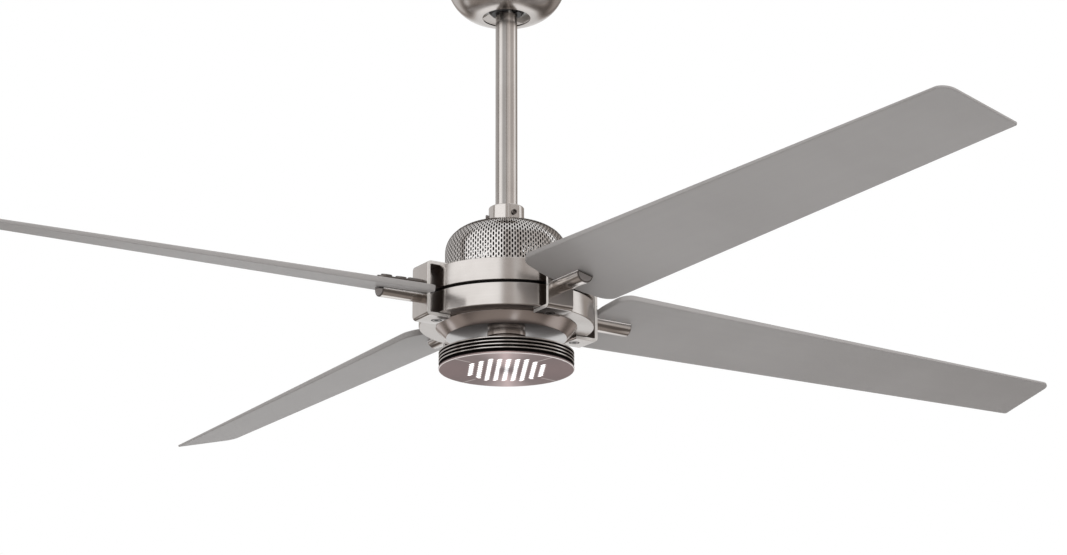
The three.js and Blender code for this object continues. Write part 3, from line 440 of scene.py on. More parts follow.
# Silver paint: a fine metallic flake, soft clouds, faint streaks along the blade, and painted shade that darkens its
# root.
def bladePaint(name, light, dark, rootShadeShare):
    def surface(sheet):
        u, v, _ = sheet.parts(sheet.patternPlace())
        place = sheet.objectPlace()
        flake = sheet.noise(place, 2600.0, 0.0)
        cloud = sheet.noise(place, 9.0, 3.0, 0.55)
        streak = sheet.noise(sheet.vector(u * 4, v * 160, 0.0), 1.0, 2.0)
        tone = sheet.rise(flake, 0.3, 0.7) * 0.3 + sheet.rise(cloud, 0.3, 0.7) * 0.45 + streak * 0.25
        # painted shade: the colour darkens towards the root, by the blade's own share
        root = 1 - sheet.rise(u, 0.11, 0.26)
        colour = sheet.mix(root * rootShadeShare, sheet.mix(tone, dark, light), paintedRootShade)
        return {"Base Color": colour, "Metallic": 0.12,
                "Roughness": 0.46 + (flake - 0.5) * 0.16 + (cloud - 0.5) * 0.06,
                "Coat Weight": 0.08, "Normal": sheet.bump(flake, 0.12, flakeHeight)}
    return finish(name, surface)


paintedRootShade = (0.21, 0.195, 0.186)
# Each blade's copy has its own share of painted root shade.
bladeSilver = [bladePaint(f"silver blade paint {number}", (0.358, 0.341, 0.334), (0.305, 0.289, 0.282), share)
               for number, share in ((1, 0.0), (2, 0.4), (3, 0.4), (4, 0.62))]

print("ceiling side")

canopySize = {"radius": 68, "wall": 1.5, "rim": -0.6, "shoulder": -22, "bottom": -70, "hole": 27, "lip": 0.5}


# A bell: a straight wall, then a quarter of an ellipse in to the hole, with the same inside at the wall's thickness.
def canopyProfile(size):
    outside, wall, rim, shoulder, bottom, hole, lip = size.values()
    turn = np.linspace(0, math.pi / 2, 28)
    inside, depth = outside - wall, shoulder - bottom
    outer = np.stack([hole + (outside - hole) * np.cos(turn), shoulder - depth * np.sin(turn)], 1)
    inner = np.stack([hole + (inside - hole) * np.cos(turn), shoulder - (depth - wall) * np.sin(turn)], 1)
    edge = [[inside, rim - lip], [inside + lip, rim], [outside - lip, rim], [outside, rim - lip]]
    return np.concatenate([edge, outer, inner[::-1]])


points, faces = turned(anticlockwise(canopyProfile(canopySize)), 200)
makePiece("canopyBell", points, faces, "ceiling_mount", "canopy", [canopyNickel])


# A screw with a hexagon socket: its profile runs from the socket's floor out over the face and down the shank.
# reach is how far the face stands over the seat, dome how much its middle rises, and drop the shank's length.
# Also says which faces lie inside the socket, for its dark finish, which paints the shade in the socket.
def screwShape(head, socket, depth, reach, dome, shank, drop):
    turn = np.linspace(0, math.pi / 2, 6)
    corner = min(reach, head - socket - screwFace) * 0.9
    face, floor = reach + dome, reach + dome - depth
    wide, deep = socketChamfer
    middle = [[0, floor], [socket, floor], [socket, face - min(deep, depth / 2)], [socket + wide, face]]
    side = np.stack([head - corner + corner * np.sin(turn), reach - corner + (corner + dome) * np.cos(turn)], 1)
    profile = np.array([*middle, *side.tolist(), [head, 0], [shank, 0], [shank, -drop], [0, -drop]])
    six = [0, 1, 1, 1] + [0] * (len(profile) - 4)
    points, faces = turned(profile[::-1], 36, six[::-1])
    x, y, level = faceMiddles(points, faces).T
    return points, faces, ((np.hypot(x, y) < socket * 1.18) & (level > floor - 0.1)).astype(int)


# A screw whose seat's middle, facing up, is put where place says.
def screwPiece(name, size, place, body, node, metal):
    points, faces, inside = screwShape(**size)
    makePiece(name, placed(points, place), faces, body, node, [metal, darkSteelAndShade], kinds=inside)


screwFace = 0.8  # flat between a screw's socket and its rounded edge
socketChamfer = 0.2, 0.15
canopyScrewSize = {"head": 4.2, "socket": 1.7, "depth": 1.4, "reach": 2.6, "dome": 0.0, "shank": 2.2, "drop": 10.3}
canopyScrewOut, canopyScrewLevel = 68.3, -9
for number, angle in ((1, 0), (2, 180)):
    screwPiece(f"canopyScrew_{number}", canopyScrewSize, sideways(angle, canopyScrewOut, canopyScrewLevel),
               "ceiling_mount", f"canopy_screw_{number}", boltNickel)

print("rod and collar")

rodLow, rodHigh = nodeBox("downrod")
rodSize = {"radius": 12.2, "bore": 9.6, "edge": 0.5, "boreEdge": 0.2}
radius, bore, edge, boreEdge = rodSize.values()
turnedPiece("rodTube", [(bore, rodLow[2], boreEdge), (radius, rodLow[2], edge), (radius, rodHigh[2], edge),
                        (bore, rodHigh[2], boreEdge)], "downrod", "downrod", [rodNickel], 96)

collarLow, collarHigh = nodeBox("collar")
collarSize = {"radius": 19.5, "crown": 1.6, "rise": 2.0, "bore": 15.9, "ceiling": 15.3, "foot": 0.4, "rodHole": 12.5}
radius, crown, rise, bore, ceiling, foot, rodHole = collarSize.values()
bottom, top, inner = collarLow[2], collarHigh[2] + rise, collarLow[2] + ceiling
turnedPiece("collarSleeve", [(bore, bottom, 0.1), (radius, bottom, foot), (radius, top, crown), (rodHole, top, 0.1),
                             (rodHole, inner, 0.1), (bore, inner, 0.1)],
            "downrod", "collar", [collarNickel], 128, 8)

# A screw with a waist just outside the collar. Its distances out are from the fan's axis.
collarScrewSize = {"radius": 2.9, "inner": 12.6, "seat": 19.7, "neck": 2.2, "waist": 0.9, "outer": 22.8,
                   "socket": 1.5, "depth": 2.4, "drill": 0.6, "edge": 0.45, "socketEdge": 0.25}
collarScrewDrop, collarScrewFirst = 8.2, -98
radius, inner, seat, neck, waist, outer, socket, depth, drill, edge, socketEdge = collarScrewSize.values()
profile = np.array([[0, inner], [radius, inner], [radius, seat - 0.1], [neck, seat], [neck, seat + waist],
                    [radius, seat + waist + 0.1], [radius, outer - edge], [radius - edge, outer],
                    [socket + socketEdge, outer], [socket, outer - socketEdge], [socket, outer - depth],
                    [0, outer - depth - drill]])
for number in range(3):
    points, faces = turned(profile, 32, [0] * 8 + [1, 1, 1, 0])
    place = sideways(collarScrewFirst + 120 * number, 0, collarHigh[2] - collarScrewDrop)
    makePiece(f"collarScrew_{number + 1}", placed(points, place), faces, "downrod",
              f"collar_screw_{number + 1}", [screwDark])

print("cage")

cageLow, cageHigh = nodeBox("cage")
cageSize = {"radius": 67.3, "wall": 1.1, "straight": 29.2, "shoulder": 42.5, "fullness": 2.1, "hole": 15.9,
            "columns": 144, "rowHeight": 5.8, "rows": 11, "start": 1.6, "holeWide": 0.66, "holeTall": 0.79,
            "strip": 1.4, "topRowHeight": 5.2, "topRows": 3, "topHoleWide": 0.58}


# The sheet's outer line by distance from its rim: a straight wall, a quarter of a slightly full ellipse (its sine
# and cosine are raised to two over the fullness) and a flat crown.
def cageLine(size, height):
    turn = np.linspace(0, math.pi / 2, 400)
    rise = height - size["straight"]
    power = 2 / size["fullness"]
    curve = size["radius"] - size["shoulder"] * (1 - np.cos(turn).clip(0) ** power)
    radius = np.concatenate([[size["radius"]], curve, [size["hole"]]])
    level = np.concatenate([[0], size["straight"] + rise * np.sin(turn) ** power, [height]])
    distance = np.concatenate([[0], np.cumsum(np.hypot(np.diff(radius), np.diff(level)))])
    return distance, radius, level


# Every hole sits in a cell of a brick pattern that stands on end: column by column, each shifted half a cell from
# the last. The face between a cell's sides and its oval hole is a ring of quads.
def cagePattern(columns, start, rowHeight, rows, wide, tall):
    side = np.array([(1, 0), (1, .5), (1, 1), (0, 1), (-1, 1), (-1, .5),
                     (-1, 0), (-1, -.5), (-1, -1), (0, -1), (1, -1), (1, -.5)])
    turn = np.arange(12) * math.pi / 6
    x, y = np.cos(turn), np.sin(turn)
    oval = np.stack([wide * np.sign(x) * np.abs(x) ** 0.85, tall * np.sign(y) * np.abs(y) ** 0.9], 1)
    column, row = [a.ravel() for a in np.meshgrid(np.arange(columns), np.arange(rows), indexing="ij")]
    middle = np.stack([2 * column + 1, start + (row + 0.5 + (column % 2) / 2) * rowHeight], 1)
    scale = np.array([1, rowHeight / 2])
    ring = middle[:, None] + np.concatenate([side, oval])[None] * scale
    quads = (np.arange(len(middle))[:, None, None] * 24 + gridFaces(2, 12)).reshape(-1, 4)
    return ring.reshape(-1, 2), quads, quads[:, [3, 2]]


# Plain quads over stretches of half columns: each stretch has a first half column and two distances.
def plainCells(stretches):
    column, low, high = np.array(stretches, float).T
    corners = np.stack([column, low, column + 1, low, column + 1, high, column, high], 1)
    return corners.reshape(-1, 2), np.arange(len(column) * 4).reshape(-1, 4)


# The cage unrolled: the cells of both zones, with plain cells where the brick pattern ends, and a bare strip between
# them. It is wrapped round the axis on the outer line and again at the wall's depth, the two are joined round every
# hole and at both rims. The lower zone has twice as many columns as the upper one.
def cageSheet(size):
    distance, radius, height = cageLine(size, cageHigh[2] - cageLow[2])
    length, columns = distance[-1], size["columns"]
    topStart = size["start"] + (size["rows"] + 0.5) * size["rowHeight"] + size["strip"]
    zones = [(columns, size["start"], size["rowHeight"], size["rows"]),
             (columns // 2, topStart, size["topRowHeight"], size["topRows"])]
    places, quads, walls, count = [], [], [], 0
    for number, start, rowHeight, rows in zones:
        ratio = columns // number
        wide = size["holeWide" if ratio == 1 else "topHoleWide"]
        ring, ringQuads, edges = cagePattern(number, start, rowHeight, rows, wide, size["holeTall"])
        walls.append(edges + count)
        end = start + rows * rowHeight
        spare = [(2 * c + h, level + part * rowHeight / 4, level + (part + 1) * rowHeight / 4) for part in (0, 1)
                 for first, level in ((1, start), (0, end)) for c in range(first, number, 2) for h in (0, 1)]
        bare = (0, start) if ratio == 1 else (end + rowHeight / 2, length)
        spare += [(h, *bare) for h in range(2 * number)]
        for corners, cells in ((ring, ringQuads), plainCells(spare)):
            quads.append(cells + count)
            places.append(corners * [ratio, 1])
            count += len(corners)
    # The bare strip between the two zones: five-sided faces join two half columns to one.
    low, high = topStart - size["strip"], topStart
    five = np.arange(columns)[:, None, None] * [2, 0] + [(0, low), (1, low), (2, low), (2, high), (0, high)]
    fives = np.arange(columns * 5).reshape(-1, 5) + count
    places.append(five.reshape(-1, 2))
    places, quads, walls = np.concatenate(places), np.concatenate(quads), np.concatenate(walls)
    places[:, 0] %= 2 * columns
    keys = np.round(places * [100, 1000]).astype(np.int64)
    _, first, whose = np.unique(keys, axis=0, return_index=True, return_inverse=True)
    whose, places = whose.reshape(-1), places[first]
    quads, walls, fives = whose[quads], whose[walls], whose[fives]

    def onLine(depth):
        d = places[:, 1]
        slopeR = np.interp(d, distance, np.gradient(radius, distance + np.arange(len(distance)) * 1e-9))
        slopeZ = np.interp(d, distance, np.gradient(height, distance))
        norm = np.hypot(slopeR, slopeZ)
        r = np.interp(d, distance, radius) - depth * slopeZ / norm
        z = np.interp(d, distance, height) + depth * slopeR / norm
        return around(r, places[:, 0] * math.pi / columns, z + cageLow[2])

    many = len(places)
    points = np.concatenate([onLine(0), onLine(size["wall"])])
    ends = []
    for d, way in ((0, -1), (length, 1)):
        rim = np.nonzero(np.abs(places[:, 1] - d) < 1e-3)[0]
        ends.append(roundPairs(rim[np.argsort(places[rim, 0])])[:, ::way])
    edges = np.concatenate([walls, *ends])
    edgeQuads = np.concatenate([edges, edges[:, ::-1] + many], 1)
    faces = [*quads.tolist(), *fives.tolist(), *(quads[:, ::-1] + many).tolist(), *(fives[:, ::-1] + many).tolist(),
             *edgeQuads.tolist()]
    outside = len(quads) + len(fives)
    return points, faces, np.arange(len(faces)) >= outside


points, faces, kinds = cageSheet(cageSize)
# The outer face is nickel; the inner face and the holes' walls are painted near black for the shade in the cage.
makePiece("cageSheet", points, faces, "downrod", "cage", [cageNickel, cageInsideShade],
          kinds=kinds, sharp=50)

print("drum")

drumSize = {"bevel": 1.1, "wall": 82, "plate": 4, "hole": 14}
for name, node, face, rim in (("upperBand", "upper_motor_cover", 1, 0), ("lowerBand", "lower_motor_cover", 0, 1)):
    low, high = nodeBox(node)
    bevel, wall, plate, hole = drumSize.values()
    outside, inside = (low[2], high[2])[face], (low[2], high[2])[rim]
    inner = outside + (plate if rim else -plate)
    turnedPiece(name, [(hole, outside, 0.3), (high[0], outside, bevel), (high[0], inside, 0.35), (wall, inside, 0.3),
                       (wall, inner, 0.5), (hole, inner, 0.3)], "rotor", node, [bandNickel], 256)

ringSize = {"inner": 76, "skirt": 81.7, "skirtHeight": 16.5}
low, high = nodeBox("rotor_ring")
inner, skirt, skirtHeight = ringSize.values()
bottom, top = low[2] + skirtHeight, high[2] - skirtHeight
# The groove between the bands is painted near black for the shade in it.
turnedPiece("drumGroove", [(inner, low[2], 0.3), (skirt, low[2], 0.3), (skirt, bottom, 0.2), (high[0], bottom, 0.3),
                           (high[0], top, 0.3), (skirt, top, 0.2), (skirt, high[2], 0.3), (inner, high[2], 0.3)],
            "rotor", "rotor_ring", [darkSteelAndShade], 192)

bossSize = {"hole": 23, "foot": 65.7, "footEdge": 1.0, "flat": 64.8}
low, high = nodeBox("hub_boss")
hole, foot, footEdge, flat = bossSize.values()
turnedPiece("bossCone", [(hole, high[2], 0.3), (high[0], high[2], 0.3), (foot, low[2], footEdge), (hole, low[2], 0.4)],
            "rotor", "hub_boss", [bossNickel, flatNickel], 224,
            pick=lambda radius, level: (radius < flat) & (level < low[2] + 0.5))

print("lamp")

neckSize = {"radius": 20.5, "waist": 18.5, "waistHeight": 5, "bore": 10.3}
low, high = nodeBox("light_neck")
radius, waist, waistHeight, bore = neckSize.values()
middle = (nodeBox("hub_boss")[0][2] + nodeBox("light_body")[1][2]) / 2
bottom, top = middle - waistHeight / 2, middle + waistHeight / 2
turnedPiece("lampNeck", [(bore, low[2], 0.2), (radius, low[2], 0.5), (radius, bottom, 0.6), (waist, bottom, 0.4),
                         (waist, top, 0.4), (radius, top, 0.6), (radius, high[2], 0.3), (bore, high[2], 0.2)],
            "downrod", "light_neck", [neckNickel], 128)

lampSize = {"radius": 73.6, "core": 60.5, "top": 1.5, "fins": 3, "fin": 1.5, "gap": 2.3, "recess": 54.8,
            "recessDepth": 4.2, "bore": 7, "turn": -28.5, "bevel": 0.7, "wall": 2.1, "step": 0.05,
            "finRim": 0.9, "segments": 200}
low, high = nodeBox("light_body")


# From the top down: a plate, then fins with gaps between them, all about one core, and a recess from below.
def lampBodyCorners(size, bottom, top):
    radius, core, recess, fin, bore = [size[part] for part in ("radius", "core", "recess", "fin", "bore")]
    level = top - size["top"]
    corners = [(bore, top, 0.3), (radius, top, 0.5), (radius, level, 0.4), (core, level, 0.2)]
    level -= size["gap"]
    for _ in range(size["fins"]):
        corners += [(core, level, 0.2), (radius, level, 0.45), (radius, level - fin, 0.45), (core, level - fin, 0.2)]
        level -= fin + size["gap"]
    inner = bottom + size["recessDepth"]
    return corners + [(core, bottom, 0.2), (recess, bottom, 0.2), (recess, inner, 0.2), (bore, inner, 0.2)]


# The top, the gaps between the fins and the fins' rims have their own finishes: the gaps are painted near black for
# the shade in them, and the top dark so that the boss's underside mirrors a shaded patch.
def lampBodyKind(radius, level):
    return np.where(level > high[2] - 0.2, 2, radius < lampSize["radius"] - lampSize["finRim"])


finNickel = turnedMetal("lamp fin nickel", *nickel, 0.22, 0.6)
turnedPiece("lampBody", lampBodyCorners(lampSize, low[2], high[2]), "downrod", "light_body",
            [finNickel, finGapShade, lampTopShade], lampSize["segments"], 3, pick=lampBodyKind)

rowPlaces = range(-4, 5)
rowSize = {"spacing": 9.6, "halfLengths": (47.8, 47.8, 47.8, 38.1, 27.4), "wide": 2.6, "sway": 0.9, "pitch": 4.4}


# Half length of a row between its end lamps, and the number of its lamps.
def rowCount(size, place):
    half = size["halfLengths"][abs(place)] - size["wide"]
    return half, int(round(2 * half / size["pitch"])) + 1


# The lamps stand left and right of the row's line in turn: the cosine of half a turn for each lamp.
def rowSway(size, along, half, count):
    return size["sway"] * np.cos(math.pi * (along + half) / (2 * half) * (count - 1))


# A row's outline along Y follows its lamps to both sides, and its ends are round.
def rowOutline(size, place, shrink=0.0):
    half, count = rowCount(size, place)
    along = np.linspace(-half, half, (count - 1) * 6 + 1)
    sway = rowSway(size, along, half, count)
    wide = size["wide"] - shrink
    turn = np.linspace(0, math.pi, 9)[1:-1]
    cap = wide * np.stack([np.cos(turn), np.sin(turn)], 1)
    outline = np.concatenate([np.stack([sway + wide, along], 1), cap + [sway[-1], half],
                              np.stack([sway - wide, along], 1)[::-1], [sway[0], -half] - cap])
    lamps = np.linspace(-half, half, count)
    return outline + [place * size["spacing"], 0], np.stack([rowSway(size, lamps, half, count), lamps], 1)


# The face: a disc cut through by the rows. Its two flat sides are the triangles between the rim and the rows' outlines.
def lampFace(size, bottom, top):
    turn = np.arange(size["segments"]) * 2 * math.pi / size["segments"]
    rim = (size["radius"] - size["bevel"]) * np.stack([np.cos(turn), np.sin(turn)], 1)
    loops = [rim] + [rowOutline(rowSize, place)[0] for place in rowPlaces]
    flat = np.concatenate(loops)
    starts = np.cumsum([0] + [len(loop) for loop in loops])
    sides = [roundPairs(start + np.arange(len(loop))) for start, loop in zip(starts, loops)]
    made = delaunay_2d_cdt([Vector(p) for p in flat.tolist()], np.concatenate(sides).tolist(), [], 0, 1e-5)
    corner = np.array([tuple(v) for v in made[0]])
    triangle = np.array([list(f) for f in made[2]])
    centre = corner[triangle].mean(1)
    inRow = np.zeros(len(triangle), bool)
    for place in rowPlaces:
        half, count = rowCount(rowSize, place)
        y = centre[:, 1]
        x = centre[:, 0] - place * rowSize["spacing"] - rowSway(rowSize, y.clip(-half, half), half, count)
        inRow |= np.hypot(x, (np.abs(y) - half).clip(0)) < rowSize["wide"] * 0.995
    triangle = triangle[~inRow]
    area = np.cross(corner[triangle[:, 1]] - corner[triangle[:, 0]], corner[triangle[:, 2]] - corner[triangle[:, 0]])
    triangle[area < 0] = triangle[area < 0][:, ::-1]
    many = len(corner)
    low, high = [np.concatenate([corner, np.full((many, 1), level)], 1) for level in (bottom, top)]
    faces = [*triangle[:, ::-1].tolist(), *(triangle + many).tolist()]
    pairs = np.concatenate(sides[1:])
    faces += np.concatenate([pairs[:, ::-1], pairs + many], 1).tolist()
    radius, bevel, wall = size["radius"], size["bevel"], bottom + size["wall"]
    step = size["step"]
    across = np.array([(radius, bottom + bevel), (radius, wall), (radius - bevel + step, wall + step)])
    rings = around(across[:, :1], turn, across[:, 1:])
    n, base = len(turn), 2 * many
    rows = [start + np.arange(n) for start in (0, base, base + n, base + 2 * n, many)]
    for first, second in zip(rows, rows[1:]):
        faces += np.concatenate([roundPairs(first), roundPairs(second)[:, ::-1]], 1).tolist()
    # The face's bevel gets a light finish, a painted highlight, and the step inside it the dark gap paint, painted
    # shade.
    edge = np.zeros(len(faces), int)
    edge[-4 * n:-3 * n] = 1
    edge[-2 * n:] = 2
    return np.concatenate([low, high, rings]), faces, edge


# A painted highlight: the turned face's colour is lightened along one line through its middle, and four faint seams
# run out from the rows to the rim.
def faceHighlightAndSeams(sheet, x, y, z, radius, colour, roughness):
    angle = sheet.math("ARCTAN2", y, x)
    off = sheet.absolute(sheet.math("SINE", angle - math.radians(faceHighlightTurn)))
    # tone paints the highlight into the colour: lightest along the line, darker to the sides.
    tone = 1.95 - sheet.rise(off, 0.0, 0.14) * 0.42 - sheet.rise(off, 0.05, 0.5) * 0.67
    colour = sheet.shade(colour, tone)
    quarter = sheet.absolute(sheet.math("SINE", angle * 2 - math.radians(2 * faceSeamTurn)))
    seam = (1 - sheet.rise(quarter * radius, 0.0008, 0.0026)) * sheet.window(radius, 0.051, 0.0725, 0.001)
    return {"Base Color": sheet.mix(seam * 0.9, colour, (0.85, 0.79, 0.76)), "Roughness": roughness}


faceSeamTurn, faceHighlightTurn = 9.7, 57.0
lampNickel = turnedMetal("lamp face nickel with painted highlight", (0.43, 0.325, 0.322), (0.352, 0.265, 0.262), 0.38, 0.95, extra=faceHighlightAndSeams,
                         across=0.0)
faceLow, faceHigh = nodeBox("light_face")
lampTurn = turnedBy(lampSize["turn"], "Z")
points, faces, edge = lampFace(lampSize, faceLow[2], faceHigh[2])
makePiece("lampFace", placed(points, lampTurn), faces, "downrod", "light_face",
          [lampNickel, lampEdgeHighlight, finGapShade], kinds=edge)


# White light from behind a diffuser: strongest at each lamp, and weaker in the middle of the rows.
def glow(name, strength, middle):
    def surface(sheet):
        place = sheet.objectPlace()
        x, y, z = sheet.parts(place)
        edge = sheet.rise(sheet.reach(x, y), 0.004, 0.019)
        speck = sheet.noise(place, 420.0, 2.0)
        share = middle + (1 - middle) * edge + (speck - 0.5) * (1 - edge) * 0.7
        return {"Base Color": (0.42, 0.42, 0.42, 1.0), "Roughness": 0.35,
                "Emission Color": sheet.mix(share, (0.08, 0.08, 0.08), (1.0, 0.995, 0.98)),
                "Emission Strength": strength}
    return finish(name, surface)


barGlow = glow("lamp bar glow", 0.72, 0.2)
beadGlow = glow("lamp bead glow", 1.4, 0.34)
lensSize = {"radius": 54.5, "lift": 0.3, "sink": 0.3, "barEdge": 0.12, "inset": 0.5, "shrink": 0.15,
            "beadRadius": 2.1, "beadHeight": 0.45}


# A low dome of rings about its own axis, closed at the top by a single point.
def bead(radius, height):
    up = np.linspace(0, math.pi / 2, 4)
    turn = np.arange(10) * math.pi / 5
    rings = around(radius * np.cos(up)[:, None], turn, -height * np.sin(up)[:, None])
    points, faces = weld(rings, gridFaces(4, 10)[:, ::-1])
    foot = np.nonzero(points[:, 2] > -1e-6)[0]
    foot = foot[np.argsort(np.arctan2(points[foot, 1], points[foot, 0]))]
    return points, [*faces, foot.tolist()]


# A disc over the face, with a bar down into every row and a bead on the bar at every lamp.
def lampLens(size, bottom):
    radius, low, high = size["radius"], faceHigh[2] + size["lift"], nodeBox("led_lens")[1][2]
    level = bottom + size["inset"]
    corners = [(0, high, 0), (radius, high, 0.2), (radius, low, 0.2), (0, low, 0)]
    disc = turned(anticlockwise(rounded(corners, 2)), 120)
    shapes, kinds = [disc], [np.zeros(len(disc[1]))]
    for place in rowPlaces:
        outline, lamps = rowOutline(rowSize, place, size["shrink"])
        bar = slab(outline, level, low + size["sink"], size["barEdge"], 1)
        shapes.append(bar)
        kinds.append(np.zeros(len(bar[1])))
        dome = bead(size["beadRadius"], size["beadHeight"])
        centre = np.stack([place * rowSize["spacing"] + lamps[:, 0], lamps[:, 1], np.full(len(lamps), level)], 1)
        many = len(dome[0])
        points = (dome[0][None] + centre[:, None]).reshape(-1, 3)
        faces = [[i + many * k for i in face] for k in range(len(lamps)) for face in dome[1]]
        shapes.append((points, faces))
        kinds.append(np.ones(len(faces)))
    return together(*shapes), np.concatenate(kinds)


(points, faces), kinds = lampLens(lensSize, faceLow[2])
makePiece("lampLens", placed(points, lampTurn), faces, "downrod", "led_lens", [barGlow, beadGlow],
          kinds=kinds)

print("arms")

seatGap = 0.3  # between pieces that touch
armSize = {"inner": 80, "outer": 108.8, "plate": 3.9, "width": 32, "bend": 4.9, "edge": 0.55, "screwAt": 88,
           "bar": 9.6, "barLength": 49, "barEdge": 1.0, "barDepth": 10.2, "barWallHighlight": 1.4, "barInside": 1,
           "bolts": (24.4, 42.0)}
bladeSize = {"root": 109.4, "tip": 762, "rootHalf": 57.8, "tipHalf": 42.2, "rootThick": 7.3, "tipThick": 2.5,
             "rootFlat": 21.5, "setBack": 9.5, "tipSlant": 1, "rootRound": 17.7, "tipRoundOut": 3.0,
             "tipRoundIn": 13.3, "edge": 2.0, "edgeRise": 0.2, "pitch": 13.8, "droop": 0.69, "level": -403.5}
clampSize = {"length": 52, "width": 14.6, "thick": 5.0, "hump": 7.3, "humpLength": 15, "humpEdge": 1.2,
             "humpLift": 0.2, "edge": 0.5, "boltLift": 0.05}
boltSize = {"head": 6.2, "socket": 2.3, "depth": 1.6, "reach": 1.0, "dome": 0.7, "shank": 2.5, "drop": 12}
# The flange screws' sockets are only 0.04 deep: their dark finish paints the shade of a socket.
flangeScrewSize = {"head": 4.5, "socket": 2.1, "depth": 0.04, "reach": 0.06, "dome": 0.0, "shank": 4.4, "drop": 1.2}


# A thin dark ring shows round each flush screw in the flanges, where its countersink is a little wider.
def screwSeats(sheet, u, v, colour, roughness):
    x, y, _ = sheet.parts(sheet.objectPlace())
    far = sheet.math("MAXIMUM", sheet.absolute(x), sheet.absolute(y)) - armSize["screwAt"] * mm
    near = sheet.math("MINIMUM", sheet.absolute(x), sheet.absolute(y))
    ring = sheet.window(sheet.reach(far, near), 0.0040, 0.0058, 0.0003)
    return {"Base Color": sheet.mix(ring, colour, (0.02, 0.017, 0.015)), "Metallic": 1 - ring * 0.9,
            "Roughness": roughness + ring * 0.6}


armPlate = brushedMetal("brushed nickel bracket", *nickel, 0.17, screwSeats)


# The blade gets thinner evenly from its root to its tip.
def bladeThickness(radius):
    share = (radius - bladeSize["root"]) / (bladeSize["tip"] - bladeSize["root"])
    return bladeSize["rootThick"] + (bladeSize["tipThick"] - bladeSize["rootThick"]) * share


# A long board with six rounded corners, as thick as the line above says at each distance out.
def bladeShape(size):
    root, flat, tip, back = size["root"], size["rootFlat"], size["tip"], size["root"] + size["setBack"]
    outline = rounded([(root, flat, 70), (root, -flat, 70), (back, -size["rootHalf"], size["rootRound"]),
                       (tip, -size["tipHalf"], size["tipRoundIn"]),
                       (tip - size["tipSlant"], size["tipHalf"], size["tipRoundOut"]),
                       (back, size["rootHalf"], size["rootRound"])], 14)
    return slab(outline, -0.5, 0.5, size["edge"], 5, bladeThickness, size["edgeRise"])


# The bracket's side view, a C, carried across its width. Its two sawn sides have a lighter finish, a painted
# highlight, and its inside a dark one, painted shade.
def bracketShape(size, low, high):
    inner, outer, plate, bend = size["inner"], size["outer"], size["plate"], size["bend"]
    end = 2 * size["edge"]
    outline = rounded([(inner, low, end), (outer, low, bend), (outer, high, bend), (inner, high, end),
                       (inner, high - plate, end), (outer - plate, high - plate, bend - plate),
                       (outer - plate, low + plate, bend - plate), (inner, low + plate, end)], 8)
    points, faces = slab(outline, -size["width"] / 2, size["width"] / 2, size["edge"], 4)
    out, level, across = faceMiddles(points, faces).T
    inside = (out < outer - plate + 0.01) & (level > low + plate - 0.01) & (level < high - plate + 0.01)
    side = np.abs(across) > size["width"] / 2 - 0.3
    return points[:, [0, 2, 1]] * [1, -1, 1], faces, points, np.where(side, 1, np.where(inside, 2, 0))


# Half a round bar on a low straight wall: the outline is carried along the blade's length. The walls have their own
# light finish, a painted highlight; the rounded rim of the outer end and the end itself have dark ones, painted shade.
def halfBar(radius, depth, wall, start, length, edge, side):
    turn = np.linspace(0, math.pi, 25)
    arc = np.stack([radius * np.cos(turn), side * (wall + (depth - wall) * np.sin(turn))], 1)
    outline = np.concatenate([[[radius, 0]], arc, [[-radius, 0]]]) if wall else arc
    points, faces = slab(outline, start, start + length, edge, 3)
    across, level, out = faceMiddles(points, faces).T
    onWall = (np.abs(level) < wall) & (np.abs(across) > radius - 0.1)
    kind = np.where(onWall, 5, np.where(out > start + length - edge, 3, 0))
    kind[-1] = 4
    return points[:, [2, 0, 1]], faces, kind


